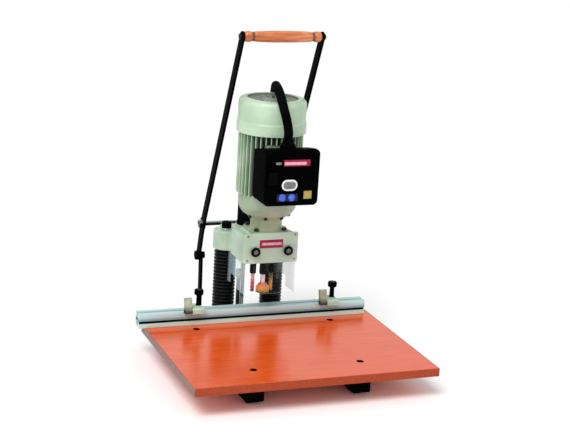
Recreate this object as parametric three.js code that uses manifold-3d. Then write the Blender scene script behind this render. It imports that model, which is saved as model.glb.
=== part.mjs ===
// Hinge boring machine: a table with a fence and two flip stops, and a motor head that a
// lever draws down two columns. Millimetres; X runs along the fence, Y from front to back,
// Z up. It is drawn with the middle spindle over X = Y = 0, then moved along Y so that the
// origin lies on the floor under the middle of its outline.

import * as THREE from 'three'
import { mergeVertices } from 'three/addons/utils/BufferGeometryUtils.js'
import Module from 'manifold-3d'

// shared clearances
const touchGap = 0.3 // air between pieces that rest on each other
const slideGap = 0.5 // air around pieces that slide or turn
const pivotGap = 0.2 // air around a pivot pin
const cutRun = 5 // how far a cutting shape runs past the face it opens

// facets round a full turn: fine for wide pieces, plain for most, coarse for pins and pleats
const facets = { fine: 28, medium: 20, plain: 18, coarse: 14, pleat: 12, flute: 4 }

// the hole pattern that the machine bores
const boring = {
  cutterRadius: 17.5,
  bitRadius: 5,
  bitSpacing: 48,
  bitSetback: 9.5,
  fenceDistance: 20,
  tipClearance: 84.5
}

// table board, rails and pads
const pad = { radius: 18, height: 5, inset: 40 }
const rail = {
  width: 45, height: 52, wall: 3, spacing: 266, frontInset: 65, length: 580, mitre: 54,
  lugReach: 40, lugWidth: 36, lugThickness: 8, lugScrew: 45
}
const board = {
  width: 600, depth: 440, thickness: 20, shiftX: 8, backReach: 54,
  frontScrewInset: 85, rearScrewInset: 62
}
const tableScrew = { headRadius: 8, headHeight: 8, shankRadius: 4, counterboreDepth: 12, driveRadius: 4 }

// casting on the rails that carries the columns
const bed = { boardGap: 6, depth: 104, thickness: 18, bossRadius: 31, bossHeight: 10, ribWidth: 26 }
const column = { radius: 12.5, spacing: 128, setback: 109, footInset: 2, topRise: 4, capHeight: 16 }
const bellows = { outerRadius: 28.5, valleyRadius: 22, boreRadius: 15, collarHeight: 5, pleats: 17 }
const returnRod = { radius: 6, setback: 150, tubeRadius: 22, tubeHeight: 116, rise: 30 }
const depthStop = {
  x: -38, y: 73, rodRadius: 5, nutRadius: 10, nutHeight: 12, rodHeight: 110,
  headRadius: 7.5, headHeight: 23, roof: 3, pocketDepth: 38, headTop: 200
}

// fence extrusion, as seen from its end
const fence = {
  length: 600, shiftX: -8, depth: 34, height: 36, lipHeight: 10.5, lineHeight: 6.5, lineDepth: 5,
  slotWidth: 8, slotNeck: 3, slotRoom: 15, slotRoomHeight: 6, chamberWall: 4, cornerRadius: 3
}

// flip stops on the fence
const stop = {
  bodyWidth: 32, saddleHeight: 10, apronDepth: 12, apronDrop: 4, leftInset: 148, rightInset: 94,
  fingerWidth: 18, fingerThickness: 12, fingerRise: 7, boardGap: 7, pinRadius: 3, pinDrop: 6, flipTurn: 195,
  knobShift: 7, knobRadius: 11.5, knobHeight: 14, stemRadius: 7, stemHeight: 27, screwRadius: 3.5,
  knobFlutes: 8, fluteRadius: 2.4
}

// head casting that slides on the columns
const head = {
  rise: 170, halfWidth: 69, front: -42, boxDepth: 100, boxHeight: 72, topFlat: 8, topFall: 9,
  saddleHeight: 48, saddleBack: 172, bossRadius: 32.5, wall: 12, cavityDepth: 76, cavityHalfWidth: 56,
  lugInner: 30, lugOuter: 54, lugFront: 130, lugRise: 24, lugRadius: 9
}
const plate = { width: 138, height: 76, thickness: 4, lift: 2 }
const neck = {
  radius: 39, bore: 24, height: 39, flangeHeight: 8, flangeHalfWidth: 46, flangeHalfDepth: 41.5, corner: 8
}
const guard = {
  halfWidth: 66, wall: 3, top: 294, bottom: 171, back: 78, notchFront: 12, notchBack: 60, notchTop: 196
}
const guardKnob = {
  x: 42.3, z: 280, radius: 12, height: 8, stemRadius: 4, stemLength: 22, flutes: 10, fluteRadius: 2
}

// motor on the neck
const motor = {
  shieldHeight: 59, shieldFootRadius: 47, shieldRadius: 72, shieldBore: 14,
  bodyHeight: 151, coreRadius: 63, finRadius: 79, finThickness: 3, fins: 38, boreRadius: 41,
  padHalfWidth: 34, padReach: 69.7, padInset: 22, padRootShare: 0.8, padFinGap: 4.5,
  discHeight: 12, shaftRadius: 9, rotorRadius: 38, rotorInset: 16, couplingRise: 26
}
const cowl = {
  bandRadius: 84.5, bandHeight: 27, radius: 82.5, height: 83, wall: 3, shoulder: 13,
  grilleRadius: 61, grilleDepth: 5, slots: 16, slotWidth: 6,
  slotInner: 24, slotOuter: 55, slotCut: 12, shoulderSteps: 4
}
const fan = { hubRadius: 16, bladeRadius: 68, bladeThickness: 3, height: 26, discThickness: 3, blades: 7 }

// switch box in front of the motor, terminal box behind it and the conduit between them
const box = {
  width: 136, height: 135, x: 2, bottom: 420, front: -150, wall: 4, corner: 12, coverThickness: 6,
  roofFall: 13, bossRadius: 19
}
const rocker = { x: -45, z: 487, halfWidth: 11, halfHeight: 16, depth: 9, proud: 3, lowProud: 1, bevel: 4 }
const terminal = { width: 88, height: 95, depth: 54, x: 20, bottom: 459, corner: 9 }
const gland = {
  hexRadius: 17, hexHeight: 6, domeRadius: 14, height: 15, bore: 9, capShare: 0.75, chamferShare: 0.15
}
const inlet = { y: -88, z: 461, hexRadius: 12, hexLength: 5, domeRadius: 10, length: 16, bore: 5 }
const conduit = {
  radius: 11, sides: 10, steps: 26, seat: 1, exitShiftX: 21, exitShiftY: 4,
  // points of its middle line, counted from its end in the front gland and then from its rear end
  rise: [[0, 0, 0], [0, 0, 18], [-4, 3, 42], [-10, 11, 69], [-12, 27, 91], [-9, 52, 104], [-1, 88, 108]],
  fall: [[-30, -89, 107], [-17, -51, 100], [-6, -19, 86], [-1, -2, 59], [0, 0, 33], [0, 0, 7], [0, 0, 0]]
}

// lever, its axle, grip and links
const lever = {
  axleY: 190, axleZ: 289, gripY: -42, gripZ: 803, railClearance: 2.3, armThickness: 6, armHalfWidth: 12.5,
  hubRadius: 17, pinY: 214.7, pinZ: 197.4, bossRadius: 12, bossHeight: 6
}
const axle = { radius: 6, headRadius: 11, headLength: 8 }
const grip = {
  radius: 14, shoulderRadius: 13.2, swellRadius: 12.2, endRadius: 11, beadRadius: 13, grooveRadius: 11.2,
  rodRadius: 5, nutRadius: 8, nutLength: 6
}
const link = {
  footY: 207, footZ: 36, halfWidth: 10, thickness: 6, bossHeight: 6, bossRadius: 9,
  pinRadius: 5, pinHead: 4, sleeveRadius: 10
}

// drive inside the head
const gear = {
  teeth: 17, toothDepth: 3, thickness: 16, lift: 18, backlash: 0.5, tipShare: 0.27, rootShare: 0.6
}
const spindle = { shaftRadius: 8, noseRadius: 10, noseDrop: 39, sideRadius: 5, sideNoseRadius: 8, topGap: 8 }
const cutter = { shankRadius: 5, rimHeight: 12, bodyHeight: 22, centrePoint: 4, pointRadius: 2 }

// levels and faces that several pieces share
const railBottom = pad.height
const railTop = railBottom + rail.height
const boardTop = railTop + board.thickness
const boardFront = board.backReach - board.depth
const railFront = boardFront + rail.frontInset
const railBack = railFront + rail.length
const bedFront = board.backReach + bed.boardGap
const bedBack = bedFront + bed.depth
const bedTop = railTop + bed.thickness
const socketTop = bedTop + bed.bossHeight
const headBottom = boardTop + head.rise
const headTop = headBottom + head.boxHeight
const saddleTop = headBottom + head.saddleHeight
const headBack = head.front + head.boxDepth
const plateFront = head.front - plate.thickness
const neckTop = headTop + neck.height
const bodyBottom = neckTop + motor.shieldHeight
const bodyTop = bodyBottom + motor.bodyHeight
const cowlTop = bodyTop + cowl.height
const boxTop = box.bottom + box.height
const terminalTop = terminal.bottom + terminal.height
const fenceFront = boring.fenceDistance
const fenceTop = boardTop + fence.height
const fenceBack = fenceFront + fence.depth
const toolTip = boardTop + boring.tipClearance
const noseBottom = headBottom - spindle.noseDrop
const gearBottom = headBottom + gear.lift
const sides = { left: -1, right: 1 }

const wasm = await Module()
wasm.setup()

// a closed three.js geometry as a manifold solid, turned outward if it came inside out
function solid(geometry) {
  const plain = geometry.clone()
  for (const name of Object.keys(plain.attributes)) if (name !== 'position') plain.deleteAttribute(name)
  const merged = mergeVertices(plain)
  const triVerts = Uint32Array.from(merged.index.array)
  const vertProperties = Float32Array.from(merged.attributes.position.array)
  const point = i => new THREE.Vector3().fromArray(vertProperties, triVerts[i] * 3)
  let volume = 0
  for (let i = 0; i < triVerts.length; i += 3) volume += point(i).dot(point(i + 1).cross(point(i + 2)))
  if (volume < 0) for (let i = 0; i < triVerts.length; i += 3) {
    const first = triVerts[i]
    triVerts[i] = triVerts[i + 1]
    triVerts[i + 1] = first
  }
  return new wasm.Manifold(new wasm.Mesh({ numProp: 3, vertProperties, triVerts }))
}

const join = (...parts) => parts.reduce((whole, part) => whole.add(part))
const cut = (whole, ...tools) => tools.reduce((rest, tool) => rest.subtract(tool), whole)

function block(lowX, highX, lowY, highY, lowZ, highZ) {
  const geometry = new THREE.BoxGeometry(highX - lowX, highY - lowY, highZ - lowZ)
  return solid(geometry.translate((lowX + highX) / 2, (lowY + highY) / 2, (lowZ + highZ) / 2))
}

// a shape drawn in the plane across an axis, extruded between two places along that axis
function extruded(axis, outline, from, to, holes = []) {
  const profile = new THREE.Shape(outline)
  profile.holes = holes.map(points => new THREE.Path(points))
  const geometry = new THREE.ExtrudeGeometry(profile, { depth: to - from, bevelEnabled: false })
  geometry.translate(0, 0, axis === 'y' ? -to : from)
  const ontoX = new THREE.Matrix4().set(0, 0, 1, 0, 1, 0, 0, 0, 0, 1, 0, 0, 0, 0, 0, 1)
  if (axis === 'x') geometry.applyMatrix4(ontoX)
  if (axis === 'y') geometry.rotateX(Math.PI / 2)
  return solid(geometry)
}

// a profile of [radius, place along the axis] turned about an axis through a centre
function turned(axis, centre, profile, segments = facets.plain) {
  const points = profile.map(([radius, along]) => new THREE.Vector2(radius, along))
  const geometry = new THREE.LatheGeometry(points, segments)
  if (axis === 'x') geometry.rotateZ(-Math.PI / 2)
  if (axis === 'z') geometry.rotateX(Math.PI / 2)
  return solid(geometry.translate(...centre))
}

const round = (axis, centre, radius, from, to, segments) =>
  turned(axis, centre, [[0, from], [radius, from], [radius, to], [0, to]], segments)

// outline of a rectangle with rounded corners about a middle point
function roundedRectangle(middleX, middleY, halfWidth, halfHeight, radius, steps = 5) {
  const points = []
  for (let corner = 0; corner < 4; corner += 1) {
    const signX = corner === 0 || corner === 3 ? 1 : -1
    const signY = corner < 2 ? 1 : -1
    for (let step = 0; step <= steps; step += 1) {
      const angle = (corner + step / steps) * Math.PI / 2
      points.push(new THREE.Vector2(
        middleX + signX * (halfWidth - radius) + radius * Math.cos(angle),
        middleY + signY * (halfHeight - radius) + radius * Math.sin(angle)
      ))
    }
  }
  return points
}

function circle(x, y, radius, segments = facets.plain, turn = 0) {
  return Array.from({ length: segments }, (_, i) => {
    const angle = turn + i / segments * Math.PI * 2
    return new THREE.Vector2(x + radius * Math.cos(angle), y + radius * Math.sin(angle))
  })
}

// flat bar through points in the YZ plane, with round ends, between two places along X
function bar(points, halfWidth, from, to) {
  const pieces = points.map(([y, z]) => extruded('x', circle(y, z, halfWidth), from, to))
  for (let i = 1; i < points.length; i += 1) {
    const start = new THREE.Vector2(...points[i - 1])
    const end = new THREE.Vector2(...points[i])
    const across = end.clone().sub(start).normalize().multiplyScalar(halfWidth)
    const aside = new THREE.Vector2(-across.y, across.x)
    pieces.push(extruded('x', [
      start.clone().add(aside), start.clone().sub(aside), end.clone().sub(aside), end.clone().add(aside)
    ], from, to))
  }
  return join(...pieces)
}

// round knob with flutes around its rim, its axis along Y or Z
function flutedKnob(axis, centre, radius, from, to, flutes, fluteRadius) {
  const points = []
  for (let i = 0; i < flutes * facets.flute; i += 1) {
    const wave = Math.max(0, Math.cos(i / facets.flute * Math.PI * 2))
    const reach = radius - fluteRadius * wave
    const angle = i / (flutes * facets.flute) * Math.PI * 2
    points.push(new THREE.Vector2(centre[0] + reach * Math.cos(angle), centre[1] + reach * Math.sin(angle)))
  }
  return extruded(axis, points, from, to)
}

const finishes = {
  orangeLaminate: { color: 0xd9663c, roughness: 0.32, metalness: 0 },
  paleGreenPaint: { color: 0xb4cfae, roughness: 0.42, metalness: 0.1 },
  greyGreenPaint: { color: 0xb2c3ac, roughness: 0.5, metalness: 0.1 },
  creamPaint: { color: 0xcfccb2, roughness: 0.5, metalness: 0.1 },
  blackPaint: { color: 0x17191a, roughness: 0.5, metalness: 0.2 },
  blackPlastic: { color: 0x141618, roughness: 0.55, metalness: 0 },
  blackRubber: { color: 0x1b1c1e, roughness: 0.8, metalness: 0 },
  aluminium: { color: 0xaec4be, roughness: 0.38, metalness: 0.9 },
  steel: { color: 0x9a9ea0, roughness: 0.32, metalness: 0.95 },
  darkSteel: { color: 0x3a3d40, roughness: 0.45, metalness: 0.8 },
  wood: { color: 0xd98e60, roughness: 0.5, metalness: 0 },
  clearPlastic: { color: 0xdfe9ea, roughness: 0.12, metalness: 0 }
}
const group = new THREE.Group()
group.name = 'hinge_boring_machine'

function add(name, body, finish) {
  const { vertProperties, triVerts, numProp } = body.getMesh()
  const geometry = new THREE.BufferGeometry()
  const positions = new Float32Array(vertProperties.length / numProp * 3)
  for (let i = 0; i < positions.length; i += 1) {
    positions[i] = vertProperties[Math.floor(i / 3) * numProp + i % 3]
  }
  geometry.setAttribute('position', new THREE.BufferAttribute(positions, 3))
  geometry.setIndex(new THREE.BufferAttribute(triVerts, 1))
  geometry.computeVertexNormals()
  const mesh = new THREE.Mesh(geometry, new THREE.MeshStandardMaterial(finishes[finish]))
  mesh.name = name
  group.add(mesh)
}

// rails under the board, each a tube with a lug for a rear table screw; the rear end is cut
// on a slant, so that its top falls short of its bottom
const screwPlaces = [
  ...Object.entries(sides).map(([side, sign]) => ({
    name: `front_${side}`,
    x: board.shiftX + sign * rail.spacing / 2,
    y: boardFront + board.frontScrewInset
  })),
  ...Object.entries(sides).map(([side, sign]) => ({
    name: `rear_${side}`,
    x: board.shiftX + sign * (rail.spacing / 2 + rail.lugScrew),
    y: board.backReach - board.rearScrewInset
  }))
]
const mitreRun = cutRun * rail.mitre / rail.height
const mitreOutline = [
  [railBack - rail.mitre - mitreRun, railTop + cutRun], [railBack + mitreRun, railBottom - cutRun],
  [railBack + mitreRun, railTop + cutRun]
].map(([y, z]) => new THREE.Vector2(y, z))
const lugTop = railTop - rail.wall
const lugBottom = lugTop - rail.lugThickness
for (const [side, sign] of Object.entries(sides)) {
  const x = board.shiftX + sign * rail.spacing / 2
  const middleZ = (railBottom + railTop) / 2
  const half = rail.width / 2
  const tube = extruded('y',
    roundedRectangle(x, middleZ, half, rail.height / 2, rail.wall),
    railFront, railBack,
    [roundedRectangle(x, middleZ, half - rail.wall, rail.height / 2 - rail.wall, rail.wall / 2)])
  const lugY = board.backReach - board.rearScrewInset
  const outer = x + sign * half
  const lug = block(
    Math.min(outer - sign * rail.wall / 2, outer + sign * rail.lugReach),
    Math.max(outer - sign * rail.wall / 2, outer + sign * rail.lugReach),
    lugY - rail.lugWidth / 2, lugY + rail.lugWidth / 2, lugBottom, lugTop)
  const bores = screwPlaces.filter(place => place.name.endsWith(side)).map(place =>
    round('z', [place.x, place.y, 0], tableScrew.shankRadius + slideGap,
      lugBottom - cutRun, railTop + cutRun))
  const pinBore = round('x', [0, link.footY, link.footZ], link.pinRadius + touchGap,
    Math.min(x, 0), Math.max(x, 0))
  const mitreCut = extruded('x', mitreOutline, x - half - cutRun, x + half + cutRun)
  add(`rail_${side}`, cut(join(tube, lug), ...bores, pinBore, mitreCut), 'blackPaint')
  for (const [end, y] of [['front', railFront + pad.inset], ['rear', railBack - pad.inset]]) {
    const rubber = round('z', [x, y, 0], pad.radius, 0, pad.height - touchGap, facets.medium)
    add(`foot_pad_${end}_${side}`, rubber, 'blackRubber')
  }
}

// table board with a counterbored hole for each screw
const boardSlab = block(board.shiftX - board.width / 2, board.shiftX + board.width / 2,
  boardFront, board.backReach, railTop + touchGap, boardTop)
add('table_board', cut(boardSlab, ...screwPlaces.map(({ x, y }) => turned('z', [x, y, 0], [
  [0, railTop - cutRun], [tableScrew.shankRadius + slideGap, railTop - cutRun],
  [tableScrew.shankRadius + slideGap, boardTop - tableScrew.counterboreDepth],
  [tableScrew.headRadius + slideGap, boardTop - tableScrew.counterboreDepth],
  [tableScrew.headRadius + slideGap, boardTop + cutRun], [0, boardTop + cutRun]
], facets.coarse))), 'orangeLaminate')
for (const { name, x, y } of screwPlaces) {
  const seat = boardTop - tableScrew.counterboreDepth + touchGap
  const top = seat + tableScrew.headHeight
  const shank = turned('z', [x, y, 0], [
    [0, lugBottom], [tableScrew.shankRadius, lugBottom],
    [tableScrew.shankRadius, seat], [tableScrew.headRadius, seat], [tableScrew.headRadius, top], [0, top]
  ], facets.coarse)
  const socket = extruded('z', circle(x, y, tableScrew.driveRadius, 6),
    top - tableScrew.headHeight / 2, top + cutRun)
  add(`table_screw_${name}`, cut(shank, socket), 'darkSteel')
}

// bed casting across the rails, with a socket for each column and one for the return rod
const columnPlaces = Object.entries(sides).map(([side, sign]) => ({ side, x: sign * column.spacing / 2 }))
const bedHalfWidth = (rail.spacing + rail.width) / 2
const bedPlate = block(board.shiftX - bedHalfWidth, board.shiftX + bedHalfWidth,
  bedFront, bedBack, railTop + touchGap, bedTop)
const bedRib = block(-column.spacing / 2, column.spacing / 2, column.setback - bed.ribWidth / 2,
  column.setback + bed.ribWidth / 2, bedTop - bed.thickness / 2, socketTop)
const bedBody = join(bedPlate, bedRib, ...columnPlaces.map(({ x }) =>
  round('z', [x, column.setback, 0], bed.bossRadius, bedTop - bed.thickness / 2, socketTop, facets.fine)))
add('bed_casting', cut(bedBody,
  ...columnPlaces.map(({ x }) => round('z', [x, column.setback, 0], column.radius + touchGap,
    railTop + column.footInset - touchGap, socketTop + cutRun, facets.fine)),
  round('z', [0, returnRod.setback, 0], returnRod.radius + touchGap, railTop + column.footInset - touchGap,
    bedTop + cutRun),
  round('z', [depthStop.x, depthStop.y, 0], depthStop.rodRadius + touchGap,
    railTop + column.footInset - touchGap, bedTop + cutRun)), 'greyGreenPaint')

// guide columns with their caps, and the pleated bellows around them
const columnTop = saddleTop + column.topRise
for (const { side, x } of columnPlaces) {
  add(`column_${side}`, round('z', [x, column.setback, 0], column.radius, railTop + column.footInset,
    columnTop + column.capHeight, facets.fine), 'steel')
  const bottom = socketTop + touchGap
  const top = headBottom - touchGap
  const pitch = (top - bottom - bellows.collarHeight * 2) / bellows.pleats
  const profile = [[bellows.boreRadius, bottom], [bellows.valleyRadius, bottom],
    [bellows.valleyRadius, bottom + bellows.collarHeight]]
  for (let pleat = 0; pleat < bellows.pleats; pleat += 1) {
    const start = bottom + bellows.collarHeight + pleat * pitch
    profile.push([bellows.outerRadius, start + pitch / 2], [bellows.valleyRadius, start + pitch])
  }
  profile.push([bellows.valleyRadius, top], [bellows.boreRadius, top], [bellows.boreRadius, bottom])
  add(`bellows_${side}`, turned('z', [x, column.setback, 0], profile, facets.pleat), 'blackRubber')
}

// return rod on the bed; its spring tube stands on the head
add('return_rod', round('z', [0, returnRod.setback, 0], returnRod.radius, railTop + column.footInset,
  saddleTop + returnRod.rise, facets.plain), 'steel')
const tubeBore = returnRod.radius + slideGap
const tubeTop = saddleTop + returnRod.tubeHeight
add('return_spring_tube', turned('z', [0, returnRod.setback, 0], [
  [tubeBore, saddleTop + touchGap], [returnRod.tubeRadius, saddleTop + touchGap],
  [returnRod.tubeRadius, tubeTop - tubeBore], [returnRod.tubeRadius - tubeBore / 2, tubeTop], [0, tubeTop],
  [0, tubeTop - tubeBore / 2], [tubeBore, tubeTop - tubeBore / 2], [tubeBore, saddleTop + touchGap]
], facets.fine), 'blackPaint')

// depth stop: a rod with a foot nut on the bed and a stop head that screws up and down it
const stopRodTop = bedTop + depthStop.rodHeight
const stopHeadBottom = depthStop.headTop - depthStop.headHeight
add('depth_stop_rod', join(
  round('z', [depthStop.x, depthStop.y, 0], depthStop.rodRadius, railTop + column.footInset, stopRodTop),
  extruded('z', circle(depthStop.x, depthStop.y, depthStop.nutRadius, 6), bedTop + touchGap,
    bedTop + depthStop.nutHeight)), 'darkSteel')
add('depth_stop_head', turned('z', [depthStop.x, depthStop.y, 0], [
  [depthStop.rodRadius + touchGap, stopHeadBottom], [depthStop.headRadius, stopHeadBottom],
  [depthStop.headRadius, depthStop.headTop], [0, depthStop.headTop],
  [0, depthStop.headTop - depthStop.roof],
  [depthStop.rodRadius + touchGap, depthStop.headTop - depthStop.roof],
  [depthStop.rodRadius + touchGap, stopHeadBottom]
], facets.plain), 'steel')

// fence extrusion: front lip, shadow line, top slot and one long chamber
const slotMiddle = fenceFront + fence.depth / 2
const lineTop = boardTop + fence.lipHeight + fence.lineHeight
const fenceOutline = [
  [fenceFront, boardTop + touchGap], [fenceBack, boardTop + touchGap], [fenceBack, fenceTop],
  [slotMiddle + fence.slotWidth / 2, fenceTop],
  [slotMiddle + fence.slotWidth / 2, fenceTop - fence.slotNeck],
  [slotMiddle + fence.slotRoom / 2, fenceTop - fence.slotNeck],
  [slotMiddle + fence.slotRoom / 2, fenceTop - fence.slotNeck - fence.slotRoomHeight],
  [slotMiddle - fence.slotRoom / 2, fenceTop - fence.slotNeck - fence.slotRoomHeight],
  [slotMiddle - fence.slotRoom / 2, fenceTop - fence.slotNeck],
  [slotMiddle - fence.slotWidth / 2, fenceTop - fence.slotNeck],
  [slotMiddle - fence.slotWidth / 2, fenceTop],
  [fenceFront + fence.cornerRadius, fenceTop],
  [fenceFront + fence.cornerRadius * (1 - Math.SQRT1_2), fenceTop - fence.cornerRadius * (1 - Math.SQRT1_2)],
  [fenceFront, fenceTop - fence.cornerRadius],
  [fenceFront, lineTop], [fenceFront + fence.lineDepth, lineTop],
  [fenceFront + fence.lineDepth, lineTop - fence.lineHeight], [fenceFront, lineTop - fence.lineHeight]
].map(([y, z]) => new THREE.Vector2(y, z))
const chamber = [
  [fenceFront + fence.lineDepth + fence.chamberWall, boardTop + fence.chamberWall],
  [fenceBack - fence.chamberWall, boardTop + fence.chamberWall],
  [fenceBack - fence.chamberWall, fenceTop - fence.slotNeck - fence.slotRoomHeight - fence.chamberWall],
  [fenceFront + fence.lineDepth + fence.chamberWall,
    fenceTop - fence.slotNeck - fence.slotRoomHeight - fence.chamberWall]
].map(([y, z]) => new THREE.Vector2(y, z))
add('fence', extruded('x', fenceOutline, fence.shiftX - fence.length / 2, fence.shiftX + fence.length / 2,
  [chamber]), 'aluminium')

// flip stops: a clamp body over the fence, its knob, and a finger on a pin at its left end,
// flipped up at rest
const saddleSeat = fenceTop + touchGap
const stopTop = fenceTop + stop.saddleHeight
const apronBack = fenceFront - slideGap
const apronFront = apronBack - stop.apronDepth
const pinY = (apronFront + apronBack) / 2
const pinZ = stopTop - stop.pinDrop
for (const [side, sign] of Object.entries(sides)) {
  const fenceEnd = fence.shiftX + sign * fence.length / 2
  const x = fenceEnd - sign * (side === 'left' ? stop.leftInset : stop.rightInset)
  const bodyLeft = x - stop.bodyWidth / 2
  const bodyOutline = [
    [apronFront, fenceTop - stop.apronDrop], [apronBack, fenceTop - stop.apronDrop], [apronBack, saddleSeat],
    [fenceBack, saddleSeat], [fenceBack, stopTop], [apronFront, stopTop]
  ].map(([y, z]) => new THREE.Vector2(y, z))
  const body = extruded('x', bodyOutline, bodyLeft, bodyLeft + stop.bodyWidth)
  const fingerTo = bodyLeft - slideGap
  const fingerFrom = fingerTo - stop.fingerWidth
  const pin = round('x', [0, pinY, pinZ], stop.pinRadius, fingerFrom - stop.pinRadius,
    bodyLeft + stop.pinRadius)
  const knobX = x + stop.knobShift
  const bore = round('z', [knobX, slotMiddle, 0], stop.screwRadius + slideGap,
    saddleSeat - cutRun, stopTop + cutRun)
  add(`stop_body_${side}`, cut(join(body, pin), bore), 'creamPaint')
  const half = stop.fingerThickness / 2
  const finger = cut(join(
    round('x', [0, pinY, pinZ], stop.fingerRise, fingerFrom, fingerTo, facets.medium),
    block(fingerFrom, fingerTo, pinY - half, pinY + half, boardTop + stop.boardGap, pinZ)
  ), round('x', [0, pinY, pinZ], stop.pinRadius + pivotGap, fingerFrom - cutRun, fingerTo + cutRun))
  add(`stop_finger_${side}`, finger.translate([0, -pinY, -pinZ]).rotate([-stop.flipTurn, 0, 0])
    .translate([0, pinY, pinZ]), 'greyGreenPaint')
  const knobBottom = stopTop + stop.stemHeight
  add(`stop_knob_${side}`, join(
    flutedKnob('z', [knobX, slotMiddle], stop.knobRadius, knobBottom, knobBottom + stop.knobHeight,
      stop.knobFlutes, stop.fluteRadius),
    turned('z', [knobX, slotMiddle, 0], [
      [0, fenceTop - fence.slotNeck + touchGap], [stop.screwRadius, fenceTop - fence.slotNeck + touchGap],
      [stop.screwRadius, stopTop + touchGap], [stop.stemRadius, stopTop + touchGap],
      [stop.stemRadius, knobBottom + stop.knobHeight / 2], [0, knobBottom + stop.knobHeight / 2]
    ], facets.plain)), 'blackPlastic')
}

// head casting: gearbox in front, saddle with two guide bosses behind, lugs for the lever axle
const cavityBack = head.front + head.cavityDepth
const headBox = block(-head.halfWidth, head.halfWidth, head.front, headBack, headBottom, headTop)
const saddleWidth = column.spacing / 2
const saddleMiddle = block(-saddleWidth, saddleWidth, headBack - head.wall, head.saddleBack - head.wall,
  headBottom, saddleTop)
const springSeat = block(-returnRod.tubeRadius, returnRod.tubeRadius, headBack, head.saddleBack,
  headBottom, saddleTop)
const backTop = headTop - head.topFall
const slope = extruded('x', [
  [headBack - head.wall, saddleTop - head.wall], [headBack + (backTop - saddleTop), saddleTop],
  [headBack, backTop], [headBack - head.wall, backTop]
].map(([y, z]) => new THREE.Vector2(y, z)), -head.halfWidth + head.wall, head.halfWidth - head.wall)

// the top falls towards the back beside the neck's flange and behind it
const topCut = (startY, fromX, toX) => extruded('x', [
  [startY, headTop], [headBack, backTop], [headBack + cutRun, backTop],
  [headBack + cutRun, headTop + cutRun], [startY, headTop + cutRun]
].map(([y, z]) => new THREE.Vector2(y, z)), fromX, toX)
const flangeEdge = neck.flangeHalfWidth + slideGap
const topCuts = [
  topCut(head.front + head.topFlat, -head.halfWidth - cutRun, -flangeEdge),
  topCut(head.front + head.topFlat, flangeEdge, head.halfWidth + cutRun),
  topCut(neck.flangeHalfDepth + slideGap, -flangeEdge, flangeEdge)
]
const axleLugs = Object.values(sides).map(sign => {
  const from = Math.min(sign * head.lugInner, sign * head.lugOuter)
  const to = Math.max(sign * head.lugInner, sign * head.lugOuter)
  return join(
    block(from, to, head.lugFront, lever.axleY, headBottom + head.lugRise, saddleTop),
    round('x', [0, lever.axleY, lever.axleZ], head.lugRadius, from, to, facets.medium))
})
const pitchRadius = Math.hypot(boring.bitSpacing / 2, boring.bitSetback) / 2
const sideSpindles = Object.entries(sides).map(([side, sign]) => ({
  side, sign, x: sign * boring.bitSpacing / 2, y: boring.bitSetback
}))
add('head_casting', cut(
  join(headBox, saddleMiddle, springSeat, slope, ...axleLugs, ...columnPlaces.map(({ x }) =>
    round('z', [x, column.setback, 0], head.bossRadius, headBottom, saddleTop, facets.fine))),
  ...topCuts,
  block(-head.cavityHalfWidth, head.cavityHalfWidth, head.front - cutRun, cavityBack,
    headBottom + head.wall, headTop - head.wall),
  ...columnPlaces.map(({ x }) => round('z', [x, column.setback, 0], column.radius + slideGap,
    headBottom - cutRun, headTop + cutRun, facets.plain)),
  round('z', [0, 0, 0], spindle.noseRadius + slideGap,
    headBottom - cutRun, headBottom + head.wall + cutRun, facets.fine),
  ...sideSpindles.map(({ x, y }) => round('z', [x, y, 0], spindle.sideNoseRadius + slideGap,
    headBottom - cutRun, headBottom + head.wall + cutRun)),
  round('z', [0, 0, 0], neck.bore, headTop - head.wall - cutRun, headTop + cutRun, facets.fine),
  round('z', [0, returnRod.setback, 0], returnRod.radius + slideGap,
    headBottom - cutRun, saddleTop + cutRun),
  round('z', [depthStop.x, depthStop.y, 0], depthStop.headRadius + depthStop.rodRadius,
    headBottom - cutRun, headBottom + depthStop.pocketDepth, facets.medium),
  round('x', [0, lever.axleY, lever.axleZ], axle.radius + slideGap, -head.lugOuter - cutRun,
    head.lugOuter + cutRun, facets.medium)
), 'greyGreenPaint')

// front cover plate, guard and the two knobs that clamp the guard
const knobHoles = radius => Object.values(sides).map(sign => circle(sign * guardKnob.x, guardKnob.z, radius))
const plateBottom = headBottom + plate.lift
add('front_plate', extruded('y', roundedRectangle(0, plateBottom + plate.height / 2, plate.width / 2,
  plate.height / 2, plate.thickness), plateFront, head.front - touchGap,
knobHoles(guardKnob.stemRadius + slideGap)), 'greyGreenPaint')
const guardBack = plateFront - touchGap
const guardFront = guardBack - guard.wall
const guardOutline = roundedRectangle(0, (guard.top + guard.bottom) / 2, guard.halfWidth,
  (guard.top - guard.bottom) / 2, guard.wall)
const guardPanel = extruded('y', guardOutline, guardFront, guardBack,
  knobHoles(guardKnob.stemRadius + slideGap))
const guardSides = Object.values(sides).map(sign => extruded('x', [
  [guardFront + guard.wall / 2, guard.bottom + guard.wall], [guardBack, guard.bottom],
  [guard.notchFront, guard.bottom], [guard.notchFront, guard.notchTop], [guard.notchBack, guard.notchTop],
  [guard.notchBack, guard.bottom], [guard.back, guard.bottom], [guard.back, headBottom - touchGap],
  [guardFront + guard.wall / 2, headBottom - touchGap]
].map(([y, z]) => new THREE.Vector2(y, z)),
Math.min(sign * guard.halfWidth, sign * (guard.halfWidth - guard.wall)),
Math.max(sign * guard.halfWidth, sign * (guard.halfWidth - guard.wall))))
add('guard', join(guardPanel, ...guardSides), 'clearPlastic')
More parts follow.
